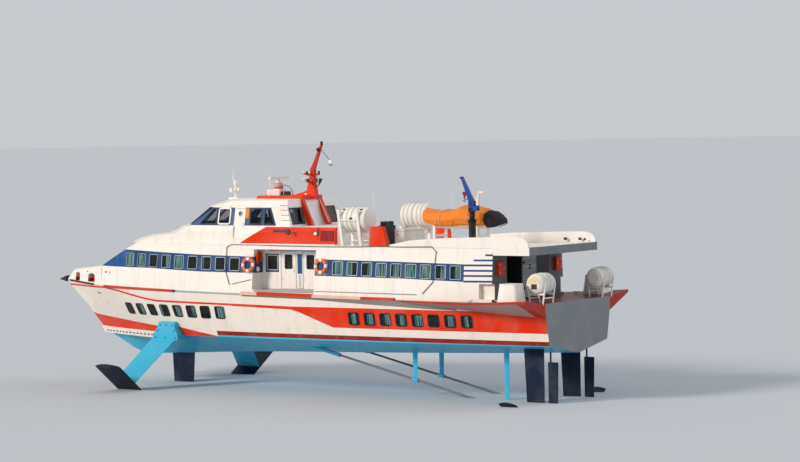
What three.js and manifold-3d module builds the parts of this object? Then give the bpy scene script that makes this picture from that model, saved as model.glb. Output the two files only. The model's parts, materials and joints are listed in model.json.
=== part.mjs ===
// Surface-piercing hydrofoil passenger ferry of light alloy, 31.6 m long, for about 210 people.
// Millimetres. +X forward, +Y to port, +Z up. The origin is on the centreline amidships,
// at the water surface as the ship runs on its foils.

import * as THREE from "three";
import { mergeVertices } from "three/addons/utils/BufferGeometryUtils.js";
import Module from "manifold-3d";

const wasm = await Module();
wasm.setup();

// Driving dimensions
const GAP = 0.3; // between faces that rest on one another
const RUNNING = 8; // round moving leaves and shafts
const LEDGE = 20; // of deck edge outside the houses' walls
const BEDDING = 8; // by which a house is drawn into the deck before the deck trims it
const TRANSOM_X = -15700;
const SALOON_AFT_X = -12990;
const SALOON_FRONT_X = 11500;
const ROOF_Z = 7200; // roof deck on the saloon house
const CANOPY_AFT_X = -14960;
const CABIN_HALF = 2450; // upper house side at its foot
const CABIN_AFT_X = -3600;
const SILL_Z = 8190; // wheelhouse window sill
const HEAD_Z = 8950; // wheelhouse window head
const WALL_TOP_Z = 9010;
const SHELL = 70; // wheelhouse wall, framed and lined
const PIT_Z = 7440; // wheelhouse floor

// Hull lines, one row a station from the transom to the stem:
// x, keel z, chine half-breadth, chine z, knuckle half-breadth, knuckle z, deck half-breadth, deck z
const HULL_LINES = [
  [-15700, 2250, 2650, 2700, 2960, 4260, 2960, 4700],
  [-12000, 2100, 2800, 2680, 3120, 4240, 3120, 4705],
  [-8000, 1980, 2930, 2660, 3270, 4230, 3280, 4720],
  [-4000, 1870, 3000, 2650, 3300, 4225, 3310, 4755],
  [0, 1780, 3000, 2640, 3300, 4240, 3310, 4790],
  [3000, 1700, 2850, 2630, 3290, 4290, 3300, 4830],
  [5500, 1590, 2470, 2620, 3160, 4310, 3200, 4875],
  [7500, 1490, 2000, 2620, 2900, 4380, 2980, 4905],
  [9000, 1430, 1560, 2630, 2600, 4560, 2690, 4930],
  [10400, 1470, 1080, 2650, 2220, 4790, 2320, 4955],
  [11500, 1960, 680, 2670, 1840, 4860, 1940, 4985],
  [12900, 2700, 90, 2730, 1240, 4870, 1340, 5020],
  [13900, 3760, 60, 3790, 730, 4875, 830, 5060],
  [15000, 4720, 60, 4750, 150, 4880, 220, 5100],
  [15300, 4990, 60, 5010, 80, 5060, 110, 5110],
];
const STEM_X = 15300;
const KEEL_HALF = 50;

// Cubic curve through the rows of a table, read at x from the column asked for
function lineAt(rows, x, column) {
  const last = rows.length - 1;
  let i = 0;
  while (i < last - 1 && x > rows[i + 1][0]) i++;
  const slope = (k) => {
    const a = rows[Math.max(0, k - 1)];
    const b = rows[Math.min(last, k + 1)];
    return (b[column] - a[column]) / (b[0] - a[0]);
  };
  const [p, q] = [rows[i], rows[i + 1]];
  const span = q[0] - p[0];
  const t = Math.min(1, Math.max(0, (x - p[0]) / span));
  const [t2, t3] = [t * t, t * t * t];
  return (2 * t3 - 3 * t2 + 1) * p[column] + (t3 - 2 * t2 + t) * span * slope(i)
    + (3 * t2 - 2 * t3) * q[column] + (t3 - t2) * span * slope(i + 1);
}
const deckHalf = (x) => lineAt(HULL_LINES, x, 6);
const deckZ = (x) => lineAt(HULL_LINES, x, 7);

// Stations from a to b with about the given step
function stations(a, b, step) {
  const count = Math.max(1, Math.round(Math.abs(b - a) / step));
  return Array.from({ length: count + 1 }, (_, i) => a + ((b - a) * i) / count);
}

// Solids from geometry, and back
function solid(geometry) {
  const bare = geometry.index ? geometry.toNonIndexed() : geometry.clone();
  bare.deleteAttribute("normal");
  bare.deleteAttribute("uv");
  const merged = mergeVertices(bare, 1e-3);
  return new wasm.Manifold(new wasm.Mesh({
    numProp: 3,
    vertProperties: merged.attributes.position.array,
    triVerts: new Uint32Array(merged.index.array),
  }));
}
function geometryOf(body) {
  const mesh = body.getMesh();
  const geometry = new THREE.BufferGeometry();
  geometry.setAttribute("position", new THREE.BufferAttribute(new Float32Array(mesh.vertProperties), 3));
  geometry.setIndex(new THREE.BufferAttribute(new Uint32Array(mesh.triVerts), 1));
  return geometry;
}
const join = (...bodies) => bodies.reduce((a, b) => a.add(b));
const cut = (body, ...tools) => tools.reduce((a, b) => a.subtract(b), body);
const mirrored = (body) => {
  const geometry = geometryOf(body);
  geometry.scale(1, -1, 1);
  const index = geometry.index.array;
  for (let i = 0; i < index.length; i += 3) [index[i], index[i + 1]] = [index[i + 1], index[i]];
  return solid(geometry);
};

// Loft through rings of equal point counts, each ring a closed flat polygon, ends capped
function loft(rings) {
  const count = rings[0].length;
  const points = rings.flat();
  const apart = (i, j) => Math.hypot(...points[i].map((v, k) => v - points[j][k]));
  const faces = [];
  for (let r = 0; r < rings.length - 1; r++) {
    for (let i = 0; i < count; i++) {
      const a = r * count + i;
      const b = r * count + ((i + 1) % count);
      const [c, d] = [a + count, b + count];
      // The shorter diagonal, so that port and starboard fold alike
      if (apart(a, d) < apart(b, c) + 1e-6) faces.push([a, b, d], [a, d, c]);
      else faces.push([a, b, c], [b, d, c]);
    }
  }
  const cap = (ring, offset, against) => {
    const spread = [0, 1, 2].map((k) => {
      const values = ring.map((p) => p[k]);
      return Math.max(...values) - Math.min(...values);
    });
    const drop = spread.indexOf(Math.min(...spread));
    const [u, v] = [[1, 2], [2, 0], [0, 1]][drop];
    const flat = ring.map((p) => new THREE.Vector2(p[u], p[v]));
    const ringTurn = Math.sign(THREE.ShapeUtils.area(flat));
    for (const face of THREE.ShapeUtils.triangulateShape(flat, [])) {
      const faceTurn = Math.sign(THREE.ShapeUtils.area(face.map((i) => flat[i])));
      const along = faceTurn === ringTurn ? face : [...face].reverse();
      faces.push((against ? along.reverse() : along).map((i) => i + offset));
    }
  };
  cap(rings[0], 0, true);
  cap(rings[rings.length - 1], (rings.length - 1) * count, false);
  const at = (i) => new THREE.Vector3(...points[i]);
  const volume = faces.reduce((sum, [a, b, c]) => sum + at(a).dot(at(b).cross(at(c))), 0);
  const index = (volume < 0 ? faces.map(([a, b, c]) => [a, c, b]) : faces).flat();
  const geometry = new THREE.BufferGeometry();
  geometry.setAttribute("position", new THREE.Float32BufferAttribute(points.flat(), 3));
  geometry.setIndex(index);
  return solid(geometry);
}

// A block between two corners
function block(x0, x1, y0, y1, z0, z1) {
  const geometry = new THREE.BoxGeometry(x1 - x0, y1 - y0, z1 - z0);
  geometry.translate((x0 + x1) / 2, (y0 + y1) / 2, (z0 + z1) / 2);
  return solid(geometry);
}
// A plate whose outline lies in the side view, from y0 to y1
const sidePlate = (outline, y0, y1) => loft([y0, y1].map((y) => outline.map(([x, z]) => [x, y, z])));
// A round bar from one point to another, its radius at each end
function bar(from, to, r0, r1 = r0, sides = 12) {
  const a = new THREE.Vector3(...from);
  const b = new THREE.Vector3(...to);
  const geometry = new THREE.CylinderGeometry(r1, r0, a.distanceTo(b), sides);
  geometry.rotateX(Math.PI / 2);
  const turn = new THREE.Quaternion().setFromUnitVectors(
    new THREE.Vector3(0, 0, 1), b.clone().sub(a).normalize());
  geometry.applyQuaternion(turn);
  const mid = a.add(b).multiplyScalar(0.5);
  geometry.translate(mid.x, mid.y, mid.z);
  return solid(geometry);
}
// A body turned on the lathe: profile of radius and height, its axis along the direction, from a point
function turned(profile, from, direction, sides = 20) {
  const geometry = new THREE.LatheGeometry(profile.map(([r, h]) => new THREE.Vector2(r, h)), sides);
  const turn = new THREE.Quaternion().setFromUnitVectors(
    new THREE.Vector3(0, 1, 0), new THREE.Vector3(...direction).normalize());
  geometry.applyQuaternion(turn);
  geometry.translate(...from);
  return solid(geometry);
}

// Named parts of the ship
const ship = new THREE.Group();
const PAINT = {
  white: { color: 0xf5efe6, roughness: 0.4, metalness: 0 },
  hull: { color: 0xddd8ce, roughness: 0.4, metalness: 0 },
  red: { color: 0xf0411e, roughness: 0.4, metalness: 0 },
  cyan: { color: 0x5cc8e8, roughness: 0.45, metalness: 0 },
  navy: { color: 0x1c4f86, roughness: 0.45, metalness: 0 },
  blue: { color: 0x1f4fa0, roughness: 0.45, metalness: 0 },
  orange: { color: 0xf08030, roughness: 0.7, metalness: 0 },
  black: { color: 0x16181a, roughness: 0.8, metalness: 0 },
  grey: { color: 0x8f9396, roughness: 0.6, metalness: 0.1 },
  bronze: { color: 0xb08a4a, roughness: 0.35, metalness: 1 },
  steel: { color: 0x9a9ca0, roughness: 0.35, metalness: 1 },
  plastic: { color: 0xefece4, roughness: 0.5, metalness: 0 },
};
function part(name, body, paint) {
  const mesh = new THREE.Mesh(geometryOf(body), new THREE.MeshStandardMaterial(PAINT[paint]));
  mesh.name = name;
  ship.add(mesh);
  return mesh;
}
// A port piece and its mirror image to starboard
function pair(name, body, paint) {
  part(`${name}_port`, body, paint);
  part(`${name}_starboard`, body, paint).scale.y = -1;
}

// Hull: solid to the deck, hard chine, V bottom, raked stem. Grown by a margin it cuts what meets it.
function hullBody(grow) {
  const ring = (x) => {
    const [keel, chine, chineAt, knuckle, knuckleAt, deck, deckAt] = [1, 2, 3, 4, 5, 6, 7].map((column) =>
      lineAt(HULL_LINES, x, column));
    const half = [
      [KEEL_HALF + grow, keel - grow * 2],
      [chine + grow * 2, chineAt - grow],
      [knuckle + grow * 2, knuckleAt - grow],
      [deck + grow * 2, deckAt + grow],
    ];
    return [...half.map(([y, z]) => [x, y, z]), ...half.reverse().map(([y, z]) => [x, -y, z])];
  };
  const xs = [...stations(TRANSOM_X, 9000, 1500), ...stations(9400, STEM_X, 500)];
  const rings = xs.map(ring);
  if (grow) rings.unshift(rings[0].map(([x, y, z]) => [x - 50, y, z]));
  return loft(rings);
}
const hullCutter = hullBody(GAP);

// Strut section, symmetric about its centre plane: share of chord from the nose, share of half thickness
const STRUT_PROFILE = [
  [0, 0], [0.06, 0.5], [0.3, 1], [0.6, 0.9], [1, 0.12], [1, -0.12], [0.6, -0.9], [0.3, -1], [0.06, -0.5],
];
function strutBetween(rows) {
  return loft(rows.map(([z, y, lead, chord, half]) =>
    STRUT_PROFILE.map(([s, h]) => [lead - s * chord, y + h * half, z])));
}

// Running gear that the hull carries: stern tubes and shaft brackets, bosses for the rudder stocks
const SHAFT_Y = 1150;
const SHAFT_R = 50;
const BARREL_R = 95; // of the stern tubes and bearing barrels
const JOURNAL = 0.9; // clearance of the shafts in their bearings
const TUBE_FORE_X = -1500;
const TUBE_AFT_X = -2900;
const HUB_HALF = 150;
const PROP = [-12900, SHAFT_Y, -560];
const SHAFT_FALL = 0.235; // down, for each millimetre aft
const shaftPoint = (x) => [x, SHAFT_Y, PROP[2] + (x - PROP[0]) * SHAFT_FALL];
const BRACKETS_X = [-7300, -12450];
const STRUT_Y = 1650;
const RUDDER_X = -15150;
const RUDDER_TOP = 1900;
const BOSS_Z = 2380;
const carried = join(
  bar(shaftPoint(TUBE_FORE_X + 400), shaftPoint(TUBE_AFT_X), BARREL_R, BARREL_R, 16),
  ...BRACKETS_X.flatMap((x) => [
    bar(shaftPoint(x + 160), shaftPoint(x - 160), BARREL_R, BARREL_R, 14),
    strutBetween([[shaftPoint(x)[2], SHAFT_Y, x + 120, 240, 30], [2400, SHAFT_Y, x + 150, 300, 34]]),
  ]),
  bar([RUDDER_X, STRUT_Y, BOSS_Z], [RUDDER_X, STRUT_Y, 2700], 100, 100, 16),
);
const BORE_R = SHAFT_R + JOURNAL;
const shaftBore = join(
  bar(shaftPoint(TUBE_FORE_X - 400), shaftPoint(TUBE_AFT_X - 100), BORE_R, BORE_R, 20),
  ...BRACKETS_X.map((x) => bar(shaftPoint(x + 200), shaftPoint(x - 200), BORE_R, BORE_R, 20)),
);
part("hull", cut(join(hullBody(0), carried, mirrored(carried)), shaftBore, mirrored(shaftBore)), "hull");

// Spray rails of the forefoot: perforated angle bars that turn the bow wave down
const RAIL_DEPTH = 330;
const rail = loft([
  // x, outer half-breadth, top z
  [12850, 200, 2760],
  [12000, 620, 2745],
  [10500, 1230, 2735],
  [9000, 1740, 2720],
  [7600, 2150, 2700],
].map(([x, y, z]) => {
  const root = Math.max(12, y - 420);
  const lip = Math.max(40, y - 90);
  return [[x, root, z], [x, y, z], [x, y + 60, z - 40], [x, lip, z - RAIL_DEPTH],
    [x, lip - 20, z - RAIL_DEPTH], [x, root, z - 60]];
}));
pair("spray_rail", cut(rail, hullCutter), "white");

// Stern guards: shelves that carry the deck out past the foil's span
const GUARD_TIP_Y = 4750;
const guardBody = (grow) => loft([
  // x, outer half-breadth, edge depth, lift of the edge over the deck
  [-7600, 3330, 60, 0],
  [-9500, 3620, 90, 0],
  [-12000, 4130, 110, 30],
  [-14200, 4550, 120, 140],
  [-15690, GUARD_TIP_Y, 120, 220],
].map(([x, y, edge, lift]) => {
  const top = deckZ(x) - BEDDING + grow * 2;
  const inner = deckHalf(x) - 60;
  const out = y + grow * 2;
  return [[x, inner, top], [x, out, top + lift], [x, out, top + lift - edge],
    [x, inner, top - 150 - (y - inner) * 0.28]];
}));
pair("stern_guard", cut(guardBody(0), hullCutter), "red");

// Foredeck: raised forecastle with two mooring niches a side
const FORE_ROWS = [
  // x, top z, top half-breadth less than the deck's
  [SALOON_FRONT_X + GAP, 5980, 100],
  [12300, 5890, 110],
  [13100, 5810, 120],
  [13900, 5740, 130],
  [14700, 5660, 100],
  [15240, 5180, 20],
];
let foredeck = loft(FORE_ROWS.map(([x, top, lean]) => {
  const foot = deckZ(x) - BEDDING;
  const y = deckHalf(x) - LEDGE;
  const half = [[y, foot], [y - lean * 0.6, foot + (top - foot) * 0.9], [Math.max(20, y - lean - 60), top],
    [Math.max(10, y * 0.4), top + 30]];
  return [...half.map(([a, b]) => [x, a, b]), ...half.reverse().map(([a, b]) => [x, -a, b])];
}));
const NICHES = [
  // x centre, width, inner half-breadth
  [14120, 520, 160],
  [12520, 700, 820],
];
const NICHE_FLOOR = 5110;
const NICHE_SPRING = 5420;
for (const [x, width, inner] of NICHES) {
  const arch = [[x - width / 2, NICHE_FLOOR], [x + width / 2, NICHE_FLOOR], [x + width / 2, NICHE_SPRING]];
  for (let k = 1; k < 8; k++) {
    const angle = (Math.PI * k) / 8;
    arch.push([x + (width / 2) * Math.cos(angle), NICHE_SPRING + 130 * Math.sin(angle)]);
  }
  arch.push([x - width / 2, NICHE_SPRING]);
  foredeck = cut(foredeck, sidePlate(arch, inner, 2600), sidePlate(arch, -2600, -inner));
}
foredeck = cut(foredeck, hullCutter);
part("foredeck", foredeck, "white");

// Bollards: twin posts on a sole plate, one set a side in the after niche
const BOLLARD_PROFILE = [[0, 0], [75, 0], [75, 190], [100, 210], [100, 250], [0, 250]];
const bollard = (x, y, z) => turned(BOLLARD_PROFILE, [x, y, z], [0, 0, 1], 12);
const SOLE_Z = NICHE_FLOOR + GAP;
pair("mooring_bollards", join(
  block(12240, 12800, 860, 1120, SOLE_Z, SOLE_Z + 25),
  bollard(12380, 990, SOLE_Z + 20),
  bollard(12660, 990, SOLE_Z + 20),
), "red");

// Bow fender: black rubber on the stem head, drawn out to a point
const FENDER_Z = 5110;
part("bow_fender", loft([
  // x, half-breadth
  [STEM_X + GAP, 200],
  [15560, 120],
  [15880, 25],
].map(([x, half]) => [[half, -half / 2], [half, half], [-half, half], [-half, -half / 2]].map(([y, lift]) =>
  [x, y, FENDER_Z + lift]))), "black");

// Saloon house: side walls follow the deck and lean in, front raked, side entrances and aft deck cut
const saloonTop = [
  // x, roof edge z
  [SALOON_AFT_X, ROOF_Z],
  [8700, ROOF_Z],
  [9600, 6830],
  [SALOON_FRONT_X, 5985],
];
// The walls keep their breadth aft of amidships and stand more upright towards the stern
const PARALLEL_X = -8000;
const wallHalf = (x) => deckHalf(Math.max(x, PARALLEL_X)) - LEDGE;
// Inward lean for each millimetre up
const wallLean = (x) => 0.125 - 0.06 * THREE.MathUtils.clamp((-6000 - x) / 7000, 0, 1);
const ROUNDING = 20;
function saloonRing(x, top) {
  const foot = deckZ(x) - BEDDING;
  const y = wallHalf(x);
  const edge = y - (top - foot) * wallLean(x);
  const half = [[y, foot], [edge, top - ROUNDING], [edge - ROUNDING, top]];
  return [...half.map(([a, b]) => [x, a, b]), ...half.reverse().map(([a, b]) => [x, -a, b])];
}
const saloonXs = [...stations(SALOON_AFT_X, 8700, 1450), 9150, 9600, 10200, 10800, SALOON_FRONT_X];
const topAt = (x) => {
  const i = Math.max(0, saloonTop.findIndex((row, k) => k > 0 && x <= row[0]) - 1);
  const [a, b] = [saloonTop[i], saloonTop[i + 1]];
  return a[1] + ((b[1] - a[1]) * (x - a[0])) / (b[0] - a[0]);
};
let saloon = loft(saloonXs.map((x) => saloonRing(x, topAt(x))));
// Side entrance: a porch 0.9 m deep, open to the side deck
const PORCH = { aft: -2900, fore: 830, back: 2380, foot: 5040, head: 7000 };
const OVERSIDE = 3600; // outside any wall
const porch = block(PORCH.aft, PORCH.fore, PORCH.back, OVERSIDE, PORCH.foot, PORCH.head);
// Doorways: leaf openings in the porch's back wall, and one in the aft wall
const DOOR_THICK = 50;
const DOOR_STANDOFF = 24; // of the opened after door from the wall
const ENTRANCES = [
  // name, aft edge x, fore edge x
  ["fore", -1210, -370],
  ["aft", -2520, -1680],
];
const DOOR_SILL = 5060;
const DOOR_HEAD = 6900;
const doorways = ENTRANCES.map(([, aft, fore]) =>
  block(aft, fore, PORCH.back - DOOR_THICK - 20, PORCH.back + 1, DOOR_SILL, DOOR_HEAD));
const entry = join(porch, ...doorways);
const AFT_DOOR = { y0: 620, y1: 1880, foot: 4780, head: 6780 };
// Gate recess at the after end of each side, low down over the guard
const gate = block(-13200, -12280, 2980, OVERSIDE, 4840, 5560);
// Lobby inside the after doorway, and the hinge blocks of its door beside it
const lobby = block(SALOON_AFT_X - 1, SALOON_AFT_X + 900,
  AFT_DOOR.y0, AFT_DOOR.y1, AFT_DOOR.foot, AFT_DOOR.head);
const hingeBlocks = [5150, 6350].map((z) => block(SALOON_AFT_X - DOOR_STANDOFF + GAP, SALOON_AFT_X + 10,
  AFT_DOOR.y0 - 50, AFT_DOOR.y0 - 10, z, z + 120));
saloon = cut(join(saloon, ...hingeBlocks), gate, mirrored(gate), entry, mirrored(entry), lobby);
part("saloon_house", cut(saloon, hullCutter, guardBody(GAP), mirrored(guardBody(GAP))), "white");

// Entrance doors: leaves with a window, hung on their fore edges
const LEAF_WINDOW = { margin: 210, sill: 6050, head: 6700 };
const leafInner = PORCH.back - DOOR_THICK;
for (const [name, aft, fore] of ENTRANCES) {
  const leaf = cut(
    block(aft + RUNNING, fore - GAP, leafInner, PORCH.back, DOOR_SILL + RUNNING, DOOR_HEAD - RUNNING),
    block(aft + LEAF_WINDOW.margin, fore - LEAF_WINDOW.margin, leafInner - 1, PORCH.back + 1,
      LEAF_WINDOW.sill, LEAF_WINDOW.head),
  );
  pair(`entrance_door_${name}`, leaf, "white");
}
// After door, standing open flat against the wall on the starboard side of its doorway
const aftLeafWide = AFT_DOOR.y1 - AFT_DOOR.y0 - 2 * RUNNING;
part("aft_door", block(
  SALOON_AFT_X - DOOR_STANDOFF - DOOR_THICK, SALOON_AFT_X - DOOR_STANDOFF,
  AFT_DOOR.y0 - RUNNING - aftLeafWide, AFT_DOOR.y0 - RUNNING,
  AFT_DOOR.foot + RUNNING, AFT_DOOR.head - RUNNING,
), "grey");

// Roof deck aft: side bulwarks flush with the walls, and the canopy over the stern deck between them
const BULWARK = 70;
const SIDE_DECK = 60;
const bulwarkTop = [
  // x, top z
  [-7160, 7300],
  [-8300, 7520],
  [-10200, 7650],
  [-12400, 7710],
  [-13900, 7745],
  [-14350, 7740],
  [-14620, 7680],
  [-14800, 7560],
  [-14890, 7400],
];
const roofEdge = (x) => {
  const at = Math.max(x, SALOON_AFT_X);
  return wallHalf(at) - (ROOF_Z - deckZ(at)) * wallLean(at);
};
const bulwark = loft(bulwarkTop.map(([x, z]) => {
  const outer = roofEdge(x);
  const inner = outer - 130;
  const foot = ROOF_Z + GAP;
  const ledge = foot + SIDE_DECK;
  return [[x, inner, foot], [x, outer, foot], [x, outer - 8, z], [x, outer - BULWARK, z],
    [x, outer - BULWARK, ledge], [x, inner, ledge]];
}));
const CANOPY_DEEP = 320;
const CANOPY_LAP_X = -12700; // its top sheet laps over the roof deck as far as this
const CANOPY_MARGIN = 90;
const canopyHalf = roofEdge(CANOPY_AFT_X);
const canopy = join(
  block(CANOPY_AFT_X, SALOON_AFT_X - GAP, -canopyHalf, canopyHalf, ROOF_Z - CANOPY_DEEP, ROOF_Z + SIDE_DECK),
  block(CANOPY_AFT_X, CANOPY_LAP_X, CANOPY_MARGIN - canopyHalf, canopyHalf - CANOPY_MARGIN,
    ROOF_Z + GAP, ROOF_Z + SIDE_DECK),
);
part("roof_wings", join(canopy, bulwark, mirrored(bulwark)), "white");

// Upper casing: the house between saloon roof and wheelhouse, with the wheelhouse floor let into it
const CASING_TOP = 8080;
const HOUSE_LEAN = 0.13;
const houseRings = [
  // z, corner x, corner half-breadth, mid x, mid half-breadth, centre x
  [ROOF_Z + GAP, 8750, 2260, 9750, 1400, 10120],
  [7330, 8420, 2290, 9450, 1430, 9850],
  [7460, 7990, 2330, 9050, 1450, 9450],
  [7600, 7400, 2360, 8450, 1480, 8850],
  [7690, 6350, 2390, 7350, 1500, 7900],
  [7850, 5850, 2370, 6850, 1450, 7450],
  [CASING_TOP, 5430, 2335, 6420, 1400, 7000],
];
const casing = loft(houseRings.map(([z, corner, cornerHalf, mid, midHalf, centre]) => {
  const side = CABIN_HALF - (z - ROOF_Z) * HOUSE_LEAN;
  const half = [[CABIN_AFT_X, side], [corner, Math.min(cornerHalf, side)], [mid, midHalf], [centre, 300]];
  return [...half.map(([x, y]) => [x, y, z]), ...half.reverse().map(([x, y]) => [x, -y, z])];
}));
// Wheelhouse: a shell on the casing's top, window openings cut
const WHEELHOUSE = [
  // height, then x and half-breadth of each corner in plan, at the foot and at the head of the walls
  { z: CASING_TOP + GAP, corner: [5230, 2318], mid: [6050, 1450], centre: [6430, 300], aft: [-770, 2165] },
  { z: WALL_TOP_Z, corner: [3920, 2075], mid: [4760, 1300], centre: [5280, 270], aft: [-500, 2015] },
];
function wheelhouseBody(inset, grow) {
  return loft(WHEELHOUSE.map((r, k) => {
    const z = r.z + (k ? grow : -grow);
    const front = inset * 1.5;
    const half = [
      [r.centre[0] - front, r.centre[1]],
      [r.mid[0] - front, r.mid[1] - inset * 0.6],
      [r.corner[0] - front * 0.8, r.corner[1] - inset],
      [r.aft[0] + inset, r.aft[1] - inset],
    ];
    return [...half.map(([x, y]) => [x, y, z]), ...half.reverse().map(([x, y]) => [x, -y, z])];
  }));
}
const pit = block(-620, 4100, -2050, 2050, PIT_Z, 8200);

// Side windows, each a four-sided opening in the side view: x and z of its corners
const SIDE_WINDOWS = [
  [[4700, SILL_Z], [3720, SILL_Z], [3720, HEAD_Z], [3960, HEAD_Z]],
  [[3560, SILL_Z], [2910, SILL_Z], [2910, HEAD_Z], [3560, HEAD_Z]],
  [[1660, SILL_Z], [1010, SILL_Z], [1010, HEAD_Z], [1660, HEAD_Z]],
  [[800, SILL_Z], [200, SILL_Z], [540, HEAD_Z], [800, HEAD_Z]],
];
// Windscreen panes: outer edges as half-breadths from the centreline
const WINDSCREEN = [[60, 640], [740, 1290], [1400, 1960]];
const AFT_WINDOW = [900, 1900];
const portWindows = join(
  ...SIDE_WINDOWS.map((outline) => sidePlate(outline, 1900, 2500)),
  ...WINDSCREEN.map(([y0, y1]) => block(4000, 6500, y0, y1, SILL_Z + 20, HEAD_Z)),
  block(-1000, -350, ...AFT_WINDOW, SILL_Z, HEAD_Z),
);
// Side doorways, from the wheelhouse floor to the window head
const SIDE_DOOR = { aft: 1980, fore: 2600, foot: PIT_Z + 20, head: HEAD_Z };
const doorTool = block(SIDE_DOOR.aft, SIDE_DOOR.fore, 1900, 2700, SIDE_DOOR.foot, SIDE_DOOR.head);
part("upper_casing", cut(casing, pit, doorTool, mirrored(doorTool)), "white");
const wheelhouseOpenings = join(portWindows, doorTool);
part("wheelhouse", cut(wheelhouseBody(0, 0), wheelhouseBody(SHELL, 60), wheelhouseOpenings,
  mirrored(wheelhouseOpenings)), "white");

// Wheelhouse doors: leaves that lean with the wall, each with a round port
const HEAD_ROOM = 20; // for their heads, which rise a little as they open
const SIDE_DOOR_LEAN = 0.196;
const doorOuter = (z) => 2243 - (z - 8060) * SIDE_DOOR_LEAN;
const PORT_AT = [2290, 8700];
const PORT_R = 130;
const sideDoor = loft([SIDE_DOOR.foot + RUNNING, SIDE_DOOR.head - HEAD_ROOM].map((z) => {
  const y = doorOuter(z);
  return [[SIDE_DOOR.aft + RUNNING, y - 50, z], [SIDE_DOOR.fore - GAP, y - 50, z],
    [SIDE_DOOR.fore - GAP, y, z], [SIDE_DOOR.aft + RUNNING, y, z]];
}));
const portHole = bar([PORT_AT[0], 1900, PORT_AT[1]], [PORT_AT[0], 2600, PORT_AT[1]], PORT_R);
pair("wheelhouse_door", cut(sideDoor, portHole), "white");

// Wheelhouse roof: brow over the windscreen, hollow beneath
const ROOF_UNDER = WALL_TOP_Z + GAP;
const roofRings = [
  // z, aft x, aft half-breadth, corner x, corner half-breadth, mid x, mid half-breadth, centre x
  [ROOF_UNDER, -520, 2025, 3990, 2090, 4830, 1330, 5370],
  [WALL_TOP_Z + 60, -515, 2015, 3900, 2080, 4740, 1310, 5270],
  [9200, -500, 1975, 3350, 2020, 4250, 1250, 4780],
  [9330, -470, 1930, 2900, 1950, 3850, 1180, 4350],
  [9400, -450, 1820, 2500, 1820, 3400, 1050, 3900],
];
const roofBody = (grow) => loft(roofRings.map((row, k) => {
  const [z, aft, aftHalf, corner, cornerHalf, mid, midHalf, centre] = row;
  const end = k === 0 ? -grow : k === roofRings.length - 1 ? grow : 0;
  const half = [
    [aft - grow, aftHalf + grow],
    [corner + grow, cornerHalf + grow],
    [mid + grow, midHalf + grow],
    [centre + grow, 280],
  ];
  return [...half.map(([x, y]) => [x, y, z + end]), ...half.reverse().map(([x, y]) => [x, -y, z + end])];
}));
const ceiling = block(-380, 2700, -1750, 1750, WALL_TOP_Z - 10, 9330);
part("wheelhouse_roof", cut(roofBody(0), ceiling), "white");

// Helm console and two seats on the wheelhouse floor
part("helm_console", sidePlate([
  [3950, PIT_Z + GAP], [2950, PIT_Z + GAP], [2950, 8150], [3250, 8330], [3950, 8130],
], -1500, 1500), "grey");
const SEAT_Y = 560;
const seat = (y) => join(
  block(2120, 2500, y - 220, y + 220, PIT_Z + GAP, PIT_Z + 60),
  bar([2310, y, PIT_Z + 50], [2310, y, 7930], 60),
  block(2060, 2560, y - 250, y + 250, 7900, 8010),
  sidePlate([[2150, 8000], [2060, 8000], [1960, 8640], [2040, 8640]], y - 240, y + 240),
);
const seatRail = block(2250, 2370, -SEAT_Y, SEAT_Y, PIT_Z + GAP, PIT_Z + 50);
part("helm_seats", join(seat(-SEAT_Y), seat(SEAT_Y), seatRail), "black");

// Arch: two raked legs abaft the wheelhouse and the red web on its roof that steps the mast
const ARCH_FOOT_Z = 8080 + GAP;
const leg = loft([
  // z, fore x, aft x
  [ARCH_FOOT_Z, -870, -1170],
  [9400, -240, -560],
  [9540, -180, -560],
].map(([z, fore, aft]) => [[fore, 660, z], [fore, 840, z], [aft, 840, z], [aft, 660, z]]));
const ARCH_HALF = 860;
const PAD_TOP = 9550;
const MAST_STEP = 10060;
const roofPad = sidePlate([
  [2230, 9350], [2230, 9500], [2120, PAD_TOP], [-560, PAD_TOP], [-560, 9350],
], -ARCH_HALF, ARCH_HALF);
const mastWeb = sidePlate([
  [640, 9510], [-150, 9720], [-370, 9800], [-400, MAST_STEP], [-760, MAST_STEP], [-840, 9510],
], -170, 170);
const arch = join(leg, mirrored(leg), roofPad, mastWeb);
part("mast_arch", cut(arch, roofBody(GAP), wheelhouseBody(0, 0)), "red");

// Signal mast: upright foot and raked post with two crosstrees and a head
const MAST_ROWS = [
  // x, z, half depth, half breadth
  [-580, MAST_STEP + GAP, 170, 120],
  [-650, 10850, 120, 90],
  [-760, 11080, 95, 75],
  [-1150, 11980, 65, 50],
];
const mastPost = loft(MAST_ROWS.map(([x, z, deep, wide]) =>
  [[x - deep, -wide, z], [x + deep, -wide, z], [x + deep, wide, z], [x - deep, wide, z]]));
const TREE_R = 45;
const crosstree = (x, z, reach) => join(
  bar([x, 0, z], [x + reach, 0, z + 40], TREE_R),
  bar([x, -reach, z], [x, reach, z], TREE_R),
);
part("signal_mast", join(
  mastPost,
  crosstree(-590, 10200, 400),
  crosstree(-630, 10570, 540),
  bar([-1150, 0, 11960], [-1190, 0, 12180], 60),
), "red");

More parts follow.
